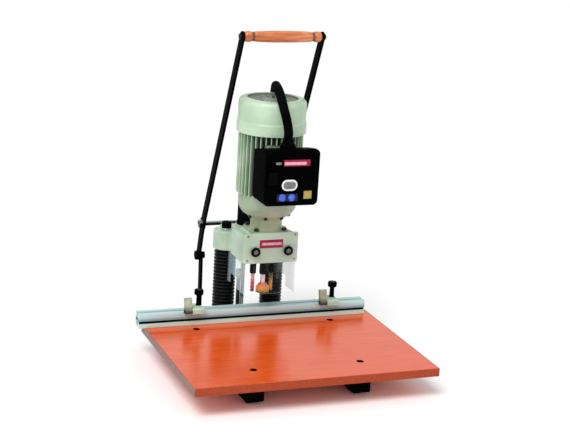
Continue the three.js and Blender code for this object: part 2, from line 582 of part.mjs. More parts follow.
for (const [side, sign] of Object.entries(sides)) {
  const x = sign * guardKnob.x
  const back = guardFront - touchGap
  add(`guard_knob_${side}`, join(
    flutedKnob('y', [x, guardKnob.z], guardKnob.radius, back - guardKnob.height, back,
      guardKnob.flutes, guardKnob.fluteRadius),
    round('y', [x, 0, guardKnob.z], guardKnob.stemRadius,
      back - guardKnob.height / 2, back + guardKnob.stemLength)
  ), 'blackPlastic')
}

// motor neck and the lower end shield that stands on it
add('motor_neck', cut(join(
  extruded('z', roundedRectangle(0, 0, neck.flangeHalfWidth, neck.flangeHalfDepth, neck.corner),
    headTop + touchGap, headTop + neck.flangeHeight),
  round('z', [0, 0, 0], neck.radius, headTop + neck.flangeHeight / 2, neckTop - touchGap, facets.fine)
), round('z', [0, 0, 0], neck.bore, headTop - cutRun, neckTop + cutRun, facets.fine)), 'paleGreenPaint')
const shieldWall = motor.shieldRadius - motor.shieldFootRadius
const shieldOuterShares = [[0.35, 0.5], [0.08, 1], [0, 1.6]] // in from the rim, up from the foot
const shieldFloorShare = 0.7
add('motor_lower_shield', turned('z', [0, 0, 0], [
  [motor.shieldBore, neckTop], [motor.shieldFootRadius, neckTop],
  ...shieldOuterShares.map(([inShare, upShare]) =>
    [motor.shieldRadius - shieldWall * inShare, neckTop + shieldWall * upShare]),
  [motor.shieldRadius, bodyBottom - touchGap], [motor.boreRadius, bodyBottom - touchGap],
  [motor.boreRadius, neckTop + shieldWall], [motor.shieldBore, neckTop + shieldWall * shieldFloorShare],
  [motor.shieldBore, neckTop]
], facets.fine), 'paleGreenPaint')

// finned stator body; no fins where the two boxes are bolted on
const finStep = Math.PI * 2 / motor.fins
const bodyOutline = []
for (let i = 0; i < motor.fins; i += 1) {
  const angle = (i + 0.5) * finStep
  const half = motor.finThickness / 2
  const bare = Math.abs(Math.cos(angle)) * motor.finRadius < motor.padHalfWidth + half + motor.padFinGap
  const { coreRadius, finRadius } = motor
  const reaches = bare ? [coreRadius] : [coreRadius, finRadius, finRadius, coreRadius]
  reaches.forEach((reach, k) => {
    const aside = bare ? 0 : (k < 2 ? -half : half)
    const along = Math.sqrt(reach * reach - aside * aside)
    bodyOutline.push(new THREE.Vector2(
      along * Math.cos(angle) - aside * Math.sin(angle), along * Math.sin(angle) + aside * Math.cos(angle)))
  })
}
const stator = extruded('z', bodyOutline, bodyBottom, bodyTop, [circle(0, 0, motor.boreRadius, facets.fine)])
const padRoot = motor.coreRadius * motor.padRootShare
const bodyPads = [-1, 1].map(sign => block(-motor.padHalfWidth, motor.padHalfWidth,
  Math.min(sign * padRoot, sign * motor.padReach), Math.max(sign * padRoot, sign * motor.padReach),
  bodyBottom + motor.padInset, bodyTop - motor.padInset))
add('motor_body', join(stator, ...bodyPads), 'paleGreenPaint')

// upper end disc, fan cowl with its grille, and the fan under it
const discRadius = cowl.bandRadius - cowl.wall - touchGap
add('motor_upper_disc', turned('z', [0, 0, 0], [
  [motor.shieldBore, bodyTop + touchGap], [discRadius, bodyTop + touchGap],
  [discRadius, bodyTop + motor.discHeight], [motor.shieldBore, bodyTop + motor.discHeight],
  [motor.shieldBore, bodyTop + touchGap]
], facets.fine), 'paleGreenPaint')
const cowlProfile = offset => {
  const rim = cowl.radius - offset
  const shoulderRadius = cowl.shoulder - offset / 2
  const top = cowlTop - offset
  const points = []
  for (let step = 0; step <= cowl.shoulderSteps; step += 1) {
    const angle = step / cowl.shoulderSteps * Math.PI / 2
    points.push([rim - shoulderRadius * (1 - Math.cos(angle)), top - shoulderRadius * (1 - Math.sin(angle))])
  }
  return points
}
const grilleFloor = cowlTop - cowl.grilleDepth
const cowlShell = turned('z', [0, 0, 0], [
  [cowl.bandRadius - cowl.wall, bodyTop + slideGap], [cowl.bandRadius, bodyTop + slideGap],
  [cowl.bandRadius, bodyTop + cowl.bandHeight], [cowl.radius, bodyTop + cowl.bandHeight + cowl.wall / 2],
  ...cowlProfile(0), [cowl.grilleRadius, cowlTop], [cowl.grilleRadius, grilleFloor], [0, grilleFloor],
  [0, grilleFloor - cowl.wall], [cowl.grilleRadius + cowl.wall, grilleFloor - cowl.wall],
  ...cowlProfile(cowl.wall).reverse().filter(([, z]) => z < grilleFloor - cowl.wall),
  [cowl.radius - cowl.wall, bodyTop + cowl.bandHeight],
  [cowl.bandRadius - cowl.wall, bodyTop + cowl.bandHeight - cowl.wall],
  [cowl.bandRadius - cowl.wall, bodyTop + slideGap]
], facets.fine)
const grilleSlots = Array.from({ length: cowl.slots }, (_, i) => {
  const slot = new THREE.BoxGeometry(cowl.slotOuter - cowl.slotInner, cowl.slotWidth, cowl.slotCut)
  slot.translate((cowl.slotOuter + cowl.slotInner) / 2, 0, grilleFloor)
  return solid(slot.rotateZ(i / cowl.slots * Math.PI * 2))
})
add('fan_cowl', cut(cowlShell, ...grilleSlots), 'paleGreenPaint')
const fanBottom = bodyTop + motor.discHeight + motor.discHeight
const coupling = headTop + motor.couplingRise
const fanBlades = Array.from({ length: fan.blades }, (_, i) => {
  const blade = new THREE.BoxGeometry(fan.bladeRadius - fan.hubRadius / 2, fan.bladeThickness, fan.height)
  blade.translate((fan.bladeRadius + fan.hubRadius / 2) / 2, 0, fanBottom + fan.height / 2)
  return solid(blade.rotateZ(i / fan.blades * Math.PI * 2))
})
add('motor_rotor', join(
  turned('z', [0, 0, 0], [
    [0, coupling + touchGap], [motor.shaftRadius, coupling + touchGap],
    [motor.shaftRadius, bodyBottom + motor.rotorInset], [motor.rotorRadius, bodyBottom + motor.rotorInset],
    [motor.rotorRadius, bodyTop - motor.rotorInset], [motor.shaftRadius, bodyTop - motor.rotorInset],
    [motor.shaftRadius, fanBottom + fan.height], [0, fanBottom + fan.height]
  ], facets.plain),
  round('z', [0, 0, 0], fan.hubRadius, fanBottom, fanBottom + fan.height, facets.medium),
  round('z', [0, 0, 0], fan.bladeRadius, fanBottom, fanBottom + fan.discThickness, facets.medium),
  ...fanBlades), 'darkSteel')

// switch box with its cover and rocker, terminal box, glands and conduit
const boxBack = -motor.padReach - touchGap
const coverBack = box.front + box.coverThickness
const boxMiddleZ = box.bottom + box.height / 2
const boxOutline = roundedRectangle(box.x, boxMiddleZ, box.width / 2, box.height / 2, box.corner)
const boxRoom = roundedRectangle(box.x, boxMiddleZ - box.roofFall / 2, box.width / 2 - box.wall,
  (box.height - box.roofFall) / 2 - box.wall, box.corner - box.wall)
const boxRoofCut = extruded('x', [
  [coverBack, boxTop], [boxBack, boxTop - box.roofFall], [boxBack + cutRun, boxTop - box.roofFall],
  [boxBack + cutRun, boxTop + cutRun], [coverBack, boxTop + cutRun]
].map(([y, z]) => new THREE.Vector2(y, z)), box.x - box.width, box.x + box.width)
const conduitEntry = { x: box.x, y: (box.front + boxBack) / 2 }
add('switch_box', cut(
  join(
    cut(extruded('y', boxOutline, coverBack + touchGap, boxBack), boxRoofCut),
    round('z', [conduitEntry.x, conduitEntry.y, 0], box.bossRadius, boxTop - box.roofFall, boxTop)),
  extruded('y', boxRoom, coverBack - cutRun, boxBack - box.wall),
  round('x', [0, inlet.y, inlet.z], inlet.bore, box.x, box.x + box.width),
  round('z', [conduitEntry.x, conduitEntry.y, 0], gland.bore, boxMiddleZ, boxTop + cutRun)), 'blackPlastic')
const rockerHole = roundedRectangle(rocker.x, rocker.z,
  rocker.halfWidth + slideGap, rocker.halfHeight + slideGap, slideGap)
add('switch_box_cover', extruded('y', boxOutline, box.front, coverBack, [rockerHole]), 'blackPlastic')
const rockerOutline = [
  [box.front - rocker.proud, rocker.z + rocker.halfHeight], [box.front, rocker.z],
  [box.front - rocker.lowProud, rocker.z - rocker.halfHeight],
  [box.front + rocker.depth, rocker.z - rocker.halfHeight + rocker.bevel],
  [box.front + rocker.depth, rocker.z + rocker.halfHeight - rocker.bevel]
].map(([y, z]) => new THREE.Vector2(y, z))
add('rocker_switch', extruded('x', rockerOutline, rocker.x - rocker.halfWidth, rocker.x + rocker.halfWidth),
  'blackPlastic')

const terminalFront = motor.padReach + touchGap
const terminalMiddleY = terminalFront + terminal.depth / 2
add('terminal_box', extruded('z', roundedRectangle(terminal.x, terminalMiddleY, terminal.width / 2,
  terminal.depth / 2, terminal.corner), terminal.bottom, terminalTop), 'paleGreenPaint')

const glandProfile = (base, size) => [
  [size.bore, base + touchGap], [size.domeRadius, base + touchGap],
  [size.domeRadius, base + size.height * size.capShare],
  [size.domeRadius - size.height * size.chamferShare, base + size.height],
  [size.bore, base + size.height], [size.bore, base + touchGap]
]
const glandAt = (x, y, base) => join(
  turned('z', [x, y, 0], glandProfile(base, gland), facets.plain),
  cut(extruded('z', circle(x, y, gland.hexRadius, 6), base + touchGap, base + gland.hexHeight),
    round('z', [x, y, 0], gland.bore + touchGap, base - cutRun, base + gland.height, facets.plain)))
add('gland_switch_box', glandAt(conduitEntry.x, conduitEntry.y, boxTop), 'blackPlastic')
const conduitExit = { x: terminal.x + conduit.exitShiftX, y: terminalMiddleY + conduit.exitShiftY }
add('gland_terminal_box', glandAt(conduitExit.x, conduitExit.y, terminalTop), 'blackPlastic')
const conduitPoints = (end, base, points) => points.map(([x, y, z]) =>
  new THREE.Vector3(end.x + x, end.y + y, base + gland.height + conduit.seat + z))
const conduitPath = new THREE.CatmullRomCurve3([
  ...conduitPoints(conduitEntry, boxTop, conduit.rise),
  ...conduitPoints(conduitExit, terminalTop, conduit.fall)
], false, 'centripetal')
const conduitShape = new THREE.Shape(circle(0, 0, conduit.radius, conduit.sides))
const conduitGeometry = new THREE.ExtrudeGeometry(conduitShape, {
  steps: conduit.steps, bevelEnabled: false, extrudePath: conduitPath
})
add('conduit', solid(conduitGeometry), 'blackRubber')

const inletBase = box.x + box.width / 2
add('mains_inlet_gland', turned('x', [0, inlet.y, inlet.z], [
  [inlet.bore, inletBase + touchGap], [inlet.hexRadius, inletBase + touchGap],
  [inlet.hexRadius, inletBase + inlet.hexLength], [inlet.domeRadius, inletBase + inlet.hexLength],
  [inlet.domeRadius, inletBase + inlet.length], [inlet.bore, inletBase + inlet.length],
  [inlet.bore, inletBase + touchGap]
]), 'blackPlastic')

// gears: teeth as trapezoids about the pitch radius, each a half tooth out of step with its mate
function toothedWheel(x, y, turn) {
  const outer = pitchRadius + gear.toothDepth / 2 - gear.backlash
  const inner = pitchRadius - gear.toothDepth / 2 - gear.backlash
  const step = Math.PI * 2 / gear.teeth
  const points = []
  for (let tooth = 0; tooth < gear.teeth; tooth += 1) {
    const middle = turn + tooth * step
    const corners = [
      [inner, -gear.rootShare / 2], [outer, -gear.tipShare / 2],
      [outer, gear.tipShare / 2], [inner, gear.rootShare / 2]
    ]
    for (const [reach, share] of corners) {
      const angle = middle + share * step
      points.push(new THREE.Vector2(x + reach * Math.cos(angle), y + reach * Math.sin(angle)))
    }
  }
  return extruded('z', points, gearBottom, gearBottom + gear.thickness)
}

// middle spindle with its cutter, and the two side spindles with their bits
add('spindle_middle', join(
  turned('z', [0, 0, 0], [
    [0, noseBottom], [spindle.noseRadius, noseBottom], [spindle.noseRadius, gearBottom],
    [spindle.shaftRadius, gearBottom], [spindle.shaftRadius, coupling], [0, coupling]
  ], facets.medium),
  toothedWheel(0, 0, 0)), 'darkSteel')
const cutterTop = noseBottom - touchGap
add('cutter', turned('z', [0, 0, 0], [
  [0, toolTip - cutter.centrePoint], [cutter.pointRadius, toolTip], [boring.cutterRadius, toolTip],
  [boring.cutterRadius, toolTip + cutter.rimHeight], [cutter.shankRadius * 2, toolTip + cutter.bodyHeight],
  [cutter.shankRadius, toolTip + cutter.bodyHeight], [cutter.shankRadius, cutterTop], [0, cutterTop]
], facets.plain), 'steel')
for (const { side, sign, x, y } of sideSpindles) {
  const towardsMiddle = Math.atan2(-y, -x)
  const stepAngle = Math.PI * 2 / gear.teeth
  const fromMiddle = Math.atan2(y, x)
  const meshTurn = towardsMiddle + stepAngle / 2 - ((-fromMiddle) % stepAngle)
  const shaftTop = gearBottom + gear.thickness + spindle.topGap
  add(`spindle_${side}`, join(
    turned('z', [x, y, 0], [
      [0, toolTip - cutter.centrePoint / 2], [boring.bitRadius, toolTip], [boring.bitRadius, noseBottom],
      [spindle.sideNoseRadius, noseBottom], [spindle.sideNoseRadius, gearBottom],
      [spindle.sideRadius, gearBottom], [spindle.sideRadius, shaftTop], [0, shaftTop]
    ], facets.plain),
    toothedWheel(x, y, meshTurn)), 'darkSteel')
}

// lever: two flat arms on one axle, a turned grip on a rod, and a boss for each link
const armPoints = [[lever.gripY, lever.gripZ], [lever.axleY, lever.axleZ], [lever.pinY, lever.pinZ]]
const armX = (rail.spacing - rail.width) / 2 - board.shiftX - lever.railClearance
const armInner = armX - lever.armThickness / 2
const armOuter = armX + lever.armThickness / 2
const span = (sign, from, to) => [Math.min(sign * from, sign * to), Math.max(sign * from, sign * to)]
for (const [side, sign] of Object.entries(sides)) {
  const [from, to] = span(sign, armInner, armOuter)
  const arm = join(
    bar(armPoints, lever.armHalfWidth, from, to),
    round('x', [0, lever.axleY, lever.axleZ], lever.hubRadius, from, to, facets.medium),
    round('x', [0, lever.pinY, lever.pinZ], lever.bossRadius,
      ...span(sign, armInner, armOuter + lever.bossHeight)))
  add(`lever_arm_${side}`, cut(arm,
    round('x', [0, lever.axleY, lever.axleZ], axle.radius + touchGap, from - cutRun, to + cutRun),
    round('x', [0, lever.gripY, lever.gripZ], grip.rodRadius + touchGap, from - cutRun, to + cutRun,
      facets.coarse)), 'blackPaint')
}
const axleEnd = armOuter + touchGap
add('lever_axle', turned('x', [0, lever.axleY, lever.axleZ], [
  [0, -axleEnd - axle.headLength], [axle.headRadius, -axleEnd - axle.headLength],
  [axle.headRadius, -axleEnd],
  [axle.radius, -axleEnd], [axle.radius, axleEnd], [axle.headRadius, axleEnd],
  [axle.headRadius, axleEnd + axle.headLength], [0, axleEnd + axle.headLength]
], facets.medium), 'steel')
add('grip_rod', turned('x', [0, lever.gripY, lever.gripZ], [
  [0, -axleEnd - grip.nutLength], [grip.nutRadius, -axleEnd - grip.nutLength], [grip.nutRadius, -axleEnd],
  [grip.rodRadius, -axleEnd], [grip.rodRadius, axleEnd], [grip.nutRadius, axleEnd],
  [grip.nutRadius, axleEnd + grip.nutLength], [0, axleEnd + grip.nutLength]
], facets.plain), 'darkSteel')
const gripEnd = armInner - touchGap
const gripShares = [
  [1, grip.endRadius], [0.96, grip.beadRadius], [0.84, grip.beadRadius], [0.8, grip.grooveRadius],
  [0.74, grip.grooveRadius], [0.7, grip.swellRadius], [0.45, grip.shoulderRadius], [0.2, grip.radius]
]
const gripBore = grip.rodRadius + touchGap
const gripProfile = [
  ...gripShares.map(([share, radius]) => [radius, -share * gripEnd]),
  ...gripShares.map(([share, radius]) => [radius, share * gripEnd]).reverse()
]
add('grip', turned('x', [0, lever.gripY, lever.gripZ], [
  [gripBore, -gripEnd], ...gripProfile, [gripBore, gripEnd], [gripBore, -gripEnd]
]), 'wood')

// links from the lever's lower ends to pins on the rails; the upper pivot stays open
const linkOuter = armInner - slideGap
const linkInner = linkOuter - link.thickness
for (const [side, sign] of Object.entries(sides)) {
  const [from, to] = span(sign, linkInner, linkOuter)
  add(`link_${side}`, cut(join(
    bar([[lever.pinY, lever.pinZ], [link.footY, link.footZ]], link.halfWidth, from, to),
    round('x', [0, lever.pinY, lever.pinZ], link.bossRadius,
      ...span(sign, linkInner - link.bossHeight, linkOuter), facets.coarse)
  ), round('x', [0, link.footY, link.footZ], link.pinRadius + pivotGap, from - cutRun, to + cutRun,
    facets.coarse)), 'blackPaint')
  const railInner = Math.abs(board.shiftX + sign * rail.spacing / 2) - rail.width / 2
  const pinEnds = [
    [0, railInner + rail.wall * 2], [link.pinRadius, railInner + rail.wall * 2],
    [link.pinRadius, railInner - touchGap],
    [link.sleeveRadius, railInner - touchGap], [link.sleeveRadius, linkOuter + slideGap],
    [link.pinRadius, linkOuter + slideGap], [link.pinRadius, linkInner - slideGap],
    [link.sleeveRadius, linkInner - slideGap], [link.sleeveRadius, linkInner - slideGap - link.pinHead],
    [0, linkInner - slideGap - link.pinHead]
  ].map(([radius, along]) => [radius, sign * along])
  add(`link_pin_${side}`, turned('x', [0, link.footY, link.footZ], pinEnds, facets.coarse), 'darkSteel')
}

group.position.y = -(boardFront + railBack) / 2
group.updateMatrixWorld(true)

export default group
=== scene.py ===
import math

import bmesh
import bpy
from mathutils import Matrix, Vector


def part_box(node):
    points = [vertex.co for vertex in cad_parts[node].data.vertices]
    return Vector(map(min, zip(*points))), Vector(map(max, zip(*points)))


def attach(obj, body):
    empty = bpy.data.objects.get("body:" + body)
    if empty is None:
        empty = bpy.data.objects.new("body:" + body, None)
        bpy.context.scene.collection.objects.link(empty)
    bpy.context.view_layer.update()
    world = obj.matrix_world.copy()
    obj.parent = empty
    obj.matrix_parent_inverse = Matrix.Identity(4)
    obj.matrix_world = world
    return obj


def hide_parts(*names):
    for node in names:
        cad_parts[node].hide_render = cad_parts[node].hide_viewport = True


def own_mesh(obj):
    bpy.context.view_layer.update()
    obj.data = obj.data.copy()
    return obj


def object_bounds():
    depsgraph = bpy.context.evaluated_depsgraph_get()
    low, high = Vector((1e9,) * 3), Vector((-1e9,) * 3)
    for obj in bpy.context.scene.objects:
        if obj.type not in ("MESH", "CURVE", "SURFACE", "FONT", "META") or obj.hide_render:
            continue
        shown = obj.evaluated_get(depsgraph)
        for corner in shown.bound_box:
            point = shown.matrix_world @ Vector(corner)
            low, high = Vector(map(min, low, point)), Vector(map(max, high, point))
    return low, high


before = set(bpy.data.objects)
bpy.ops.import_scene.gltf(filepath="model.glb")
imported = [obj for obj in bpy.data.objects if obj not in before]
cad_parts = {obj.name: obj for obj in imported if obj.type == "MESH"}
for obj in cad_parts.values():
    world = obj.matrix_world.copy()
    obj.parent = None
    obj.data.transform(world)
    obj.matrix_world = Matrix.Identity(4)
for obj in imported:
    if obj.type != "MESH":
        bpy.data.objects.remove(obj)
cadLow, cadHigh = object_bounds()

scene = bpy.context.scene
for name in ("Cube", "Light", "Camera"):
    leftOver = bpy.data.objects.get(name)
    if leftOver:
        bpy.data.objects.remove(leftOver)

sides = {"left": -1, "right": 1}
touchGap = 0.0003  # air between pieces that rest on each other
nearZero = 1e-7
over = 0.01  # how far a cutter runs past what it cuts

# the axis of the middle spindle, which the motor and the neck share
neckLow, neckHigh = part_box("motor_neck")
axisX = (neckLow.x + neckHigh.x) / 2
axisY = (neckLow.y + neckHigh.y) / 2
motorAxis = (axisX, axisY, 0)
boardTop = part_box("table_board")[1].z
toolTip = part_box("cutter")[0].z


# camera, floor and light
def makeCamera():
    photo = {
        "width": 570,
        "focalLength": 1446.9,  # both in pixels of the photograph
        "sensor": 36,
        "place": Vector((-1.2211, -3.1450, 1.2614)),
        "turn": math.radians(21.6),  # from +Y towards +X
        "dip": math.radians(14.8),
        "lean": math.radians(3.4),
    }
    turn, dip, lean = photo["turn"], photo["dip"], photo["lean"]
    ahead = Vector((math.sin(turn) * math.cos(dip), math.cos(turn) * math.cos(dip), -math.sin(dip)))
    level = ahead.cross(Vector((0, 0, 1))).normalized()
    upright = level.cross(ahead)
    right = level * math.cos(lean) + upright * math.sin(lean)
    up = upright * math.cos(lean) - level * math.sin(lean)
    data = bpy.data.cameras.new("camera")
    data.sensor_width = photo["sensor"]
    data.lens = photo["focalLength"] / photo["width"] * data.sensor_width
    data.clip_start, data.clip_end = 0.05, 200
    camera = bpy.data.objects.new("camera", data)
    scene.collection.objects.link(camera)
    turned = Matrix((right, up, -ahead)).transposed()
    camera.matrix_world = Matrix.Translation(photo["place"]) @ turned.to_4x4()
    scene.camera = camera


def makeFloor():
    floor = {"halfSize": 60.0, "colour": (0.985, 0.985, 0.985, 1), "roughness": 0.9, "shine": 0.1}
    bm = bmesh.new()
    bmesh.ops.create_grid(bm, x_segments=1, y_segments=1, size=floor["halfSize"])
    mesh = bpy.data.meshes.new("floor")
    bm.to_mesh(mesh)
    bm.free()
    plane = bpy.data.objects.new("floor", mesh)
    scene.collection.objects.link(plane)
    material = bpy.data.materials.new("paleFloor")
    material.use_nodes = True
    sockets = material.node_tree.nodes["Principled BSDF"].inputs
    sockets["Base Color"].default_value = floor["colour"]
    sockets["Roughness"].default_value = floor["roughness"]
    sockets["Specular IOR Level"].default_value = floor["shine"]
    mesh.materials.append(material)


def makeLight():
    light = {
        "skyStrength": 0.57,
        "sunStrength": 1.75, "sunSpread": math.radians(28), "sunFrom": Vector((-0.55, -0.6, 1.15)),
        "boxes": [
            {"place": (-1.6, -1.2, 1.6), "size": (1.3, 1.0), "power": 9},
            {"place": (1.5, -1.6, 1.3), "size": (0.8, 1.4), "power": 5},
        ],
    }
    world = bpy.data.worlds.new("studio")
    scene.world = world
    world.use_nodes = True
    nodes, links = world.node_tree.nodes, world.node_tree.links
    nodes.clear()
    blend = nodes.new("ShaderNodeMixShader")
    links.new(blend.outputs[0], nodes.new("ShaderNodeOutputWorld").inputs[0])
    # plain white for what the camera sees, also in a mirror or through the guard
    for i, strength in ((1, light["skyStrength"]), (2, 1)):
        sky = nodes.new("ShaderNodeBackground")
        sky.inputs["Color"].default_value = (1, 1, 1, 1)
        sky.inputs["Strength"].default_value = strength
        links.new(sky.outputs[0], blend.inputs[i])
    rays = nodes.new("ShaderNodeLightPath")
    seen = rays.outputs["Is Camera Ray"]
    for kind in ("Is Glossy Ray", "Is Transmission Ray"):
        either = nodes.new("ShaderNodeMath")
        either.operation = "MAXIMUM"
        links.new(seen, either.inputs[0])
        links.new(rays.outputs[kind], either.inputs[1])
        seen = either.outputs[0]
    links.new(seen, blend.inputs[0])

    def hung(name, lamp, place, way):
        lampObject = bpy.data.objects.new(name, lamp)
        lampObject.location = place
        lampObject.rotation_mode = "QUATERNION"
        lampObject.rotation_quaternion = way.to_track_quat("Z", "Y")
        scene.collection.objects.link(lampObject)
    sun = bpy.data.lights.new("sun", "SUN")
    sun.energy, sun.angle = light["sunStrength"], light["sunSpread"]
    hung("sun", sun, (0, 0, 0), light["sunFrom"])
    for i, softBox in enumerate(light["boxes"]):
        lamp = bpy.data.lights.new(f"softBox{i}", "AREA")
        lamp.shape = "RECTANGLE"
        lamp.size, lamp.size_y = softBox["size"]
        lamp.energy = softBox["power"]
        hung(f"softBox{i}", lamp, softBox["place"], Vector(softBox["place"]) - (cadLow + cadHigh) / 2)


makeCamera()
makeFloor()
makeLight()
scene.view_settings.view_transform = "Standard"
print("camera, floor and light are set")


# helpers for node materials
def tone(red, green, blue):
    # a colour as a paint chart gives it, 0 to 255, turned into the shader's linear values
    def linear(value):
        share = value / 255
        return share / 12.92 if share <= 0.04045 else ((share + 0.055) / 1.055) ** 2.4
    return (linear(red), linear(green), linear(blue), 1)


class Finish:
    # one procedural material: a shader with helpers that add noise, colour ramps and bump
    def __init__(self, name, metallic=0.0, **sockets):
        self.material = bpy.data.materials.new(name)
        self.material.use_nodes = True
        self.nodes = self.material.node_tree.nodes
        self.links = self.material.node_tree.links
        self.shader = self.nodes["Principled BSDF"]
        for socket, value in {"Metallic": metallic, **sockets}.items():
            self.shader.inputs[socket].default_value = value
        self.coordinates = self.nodes.new("ShaderNodeTexCoord").outputs["Object"]
        self.height = None

    def noise(self, scale, detail=3, stretch=(1, 1, 1), sharpness=0.5, twist=0):
        mapping = self.nodes.new("ShaderNodeMapping")
        mapping.inputs["Scale"].default_value = stretch
        texture = self.nodes.new("ShaderNodeTexNoise")
        texture.inputs["Scale"].default_value = scale
        texture.inputs["Detail"].default_value = detail
        texture.inputs["Roughness"].default_value = sharpness
        texture.inputs["Distortion"].default_value = twist
        self.links.new(self.coordinates, mapping.inputs[0])
        self.links.new(mapping.outputs[0], texture.inputs["Vector"])
        return texture.outputs["Fac"]

    def cells(self, scale):
        texture = self.nodes.new("ShaderNodeTexVoronoi")
        texture.inputs["Scale"].default_value = scale
        self.links.new(self.coordinates, texture.inputs["Vector"])
        return texture.outputs["Distance"]

    def edges(self, low, high):
        # where the surface turns over an edge, from its pointiness
        shape = self.nodes.new("ShaderNodeNewGeometry")
        return self.ranged(shape.outputs["Pointiness"], 0, 1, low, high)

    def along(self, axis, source=None):
        # one coordinate of the place on the object, or of another vector
        split = self.nodes.new("ShaderNodeSeparateXYZ")
        self.links.new(source or self.coordinates, split.inputs[0])
        return split.outputs[axis]

    def ramp(self, source, *stops):
        node = self.nodes.new("ShaderNodeValToRGB")
        elements = node.color_ramp.elements
        while len(elements) < len(stops):
            elements.new(0.5)
        for element, (place, colour) in zip(elements, stops):
            element.position = place
            element.color = tone(*colour)
        self.links.new(source, node.inputs[0])
        return node.outputs[0]

    def ranged(self, source, low, high, fromLow=0.0, fromHigh=1.0):
        node = self.nodes.new("ShaderNodeMapRange")
        node.inputs["From Min"].default_value = fromLow
        node.inputs["From Max"].default_value = fromHigh
        node.inputs["To Min"].default_value = low
        node.inputs["To Max"].default_value = high
        self.links.new(source, node.inputs["Value"])
        return node.outputs[0]

    def mixed(self, first, second, share):
        node = self.nodes.new("ShaderNodeMix")
        node.data_type = "RGBA"
        for index, value in ((0, share), (6, first), (7, second)):
            if isinstance(value, tuple):
                node.inputs[index].default_value = tone(*value)
            else:
                self.links.new(value, node.inputs[index])
        return node.outputs[2]

    def maths(self, operation, *sources):
        node = self.nodes.new("ShaderNodeMath")
        node.operation = operation
        for source, socket in zip(sources, node.inputs):
            self.links.new(source, socket)
        return node.outputs[0]

    def colour(self, source):
        self.links.new(source, self.shader.inputs["Base Color"])

    def rough(self, source, low, high, fromLow=0.3):
        self.links.new(self.ranged(source, low, high, fromLow, 0.7), self.shader.inputs["Roughness"])

    def bump(self, source, distance):
        # bumps are stacked, the last one added over those before it
        node = self.nodes.new("ShaderNodeBump")
        node.inputs["Distance"].default_value = distance
        node.inputs["Strength"].default_value = 1
        self.links.new(source, node.inputs["Height"])
        if self.height:
            self.links.new(self.height, node.inputs["Normal"])
        self.height = node.outputs[0]
        self.links.new(self.height, self.shader.inputs["Normal"])
        return self.material


def shining(level):
    return {"Specular IOR Level": level}


# finishes of this machine; every colour is red, green and blue from 0 to 255
def enamel(name, base, pale, dark, roughness, peel, grit, cast, shine):
    # sprayed enamel: slow drift of shade, orange peel, fine grit in the gloss and rubbed edges
    finish = Finish(name, **shining(shine))
    shade = finish.ramp(finish.noise(9, 4), (0.3, dark), (0.52, base), (0.75, pale))
    scratches = finish.ranged(finish.noise(160, 4), 0, 1, 0.45, 0.62)
    rubbed = finish.maths("MULTIPLY", finish.edges(0.53, 0.62), scratches)
    finish.colour(finish.mixed(shade, pale, rubbed))
    finish.rough(finish.noise(70, 5), roughness - grit, roughness + grit)
    if cast:
        finish.bump(finish.noise(260, 5, sharpness=0.6), cast)
        finish.bump(finish.noise(28, 3), cast * 2)
    return finish.bump(finish.noise(420, 2), peel)


def fingerPaint(name):
    # the fingers' enamel, with painted shade: darker round the pin, at the foot of the flipped-up finger
    pinShade = {"pin": 0.007, "unshaded": 0.02, "dark": (58, 64, 46)}  # heights above the finger's foot
    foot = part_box("stop_finger_left")[0].z
    finish = Finish(name, **shining(0.2))
    drift = finish.ramp(finish.noise(60, 5), (0.3, (132, 146, 120)), (0.52, (158, 172, 146)),
                        (0.75, (192, 204, 180)))
    # painted shade: dark olive up to the pin, fading into the paint above it
    rise = finish.ranged(finish.along("Z"), 0, 1, foot + pinShade["pin"], foot + pinShade["unshaded"])
    finish.colour(finish.mixed(pinShade["dark"], drift, rise))
    finish.rough(finish.noise(70, 5), 0.42, 0.58)
    finish.bump(finish.noise(260, 5, sharpness=0.6), 0.0001)
    return finish.bump(finish.noise(420, 2), 0.00005)


def finPaint(name):
    # the motor's enamel with painted shade in the gaps between the fins, darker towards the fins' roots, by
    # distance from the axis
    gap = {"root": 0.064, "tip": 0.0775, "dark": (44, 56, 44)}
    finish = Finish(name, **shining(0.3))
    reach = finish.coordinates
    for operation, value in (("SUBTRACT", motorAxis), ("MULTIPLY", (1, 1, 0)), ("LENGTH", None)):
        node = finish.nodes.new("ShaderNodeVectorMath")
        node.operation = operation
        if value:
            node.inputs[1].default_value = value
        finish.links.new(reach, node.inputs[0])
        reach = node.outputs["Value" if operation == "LENGTH" else "Vector"]
    drift = finish.ramp(finish.noise(14, 5), (0.3, (150, 180, 146)), (0.5, (172, 198, 168)),
                        (0.75, (204, 222, 198)))
    # painted shade: dark at the fins' roots, fading to the paint at their tips
    finish.colour(finish.mixed(gap["dark"], drift, finish.ranged(reach, 0, 1, gap["root"], gap["tip"])))
    finish.rough(finish.noise(70, 5), 0.36, 0.5)
    return finish.bump(finish.noise(420, 2), 0.00006)


def laminate(name):
    # satin laminate with long streaks along the board
    finish = Finish(name)
    streak = finish.noise(14, 6, stretch=(1, 9, 9), sharpness=0.62, twist=0.4)
    grain = finish.ramp(streak, (0.28, (202, 66, 4)), (0.5, (220, 82, 12)), (0.74, (232, 98, 24)))
    cloud = finish.ranged(finish.noise(3.2, 3), 0.0, 0.55, 0.35, 0.7)
    finish.colour(finish.mixed(grain, (212, 72, 8), cloud))
    finish.rough(finish.noise(38, 5, stretch=(1, 4, 4)), 0.16, 0.26)
    return finish.bump(finish.noise(320, 3, stretch=(0.3, 1, 1)), 0.00003)


def band(name, dark, base, pale):
    # melamine band on the board's edge, with the fine chips of a trimmed edge
    finish = Finish(name, **shining(0.25))
    chips = finish.noise(240, 5, sharpness=0.7)
    finish.colour(finish.ramp(chips, (0.3, dark), (0.5, base), (0.72, pale)))
    finish.rough(finish.noise(90, 4), 0.34, 0.54)
    return finish.bump(chips, 0.00006)


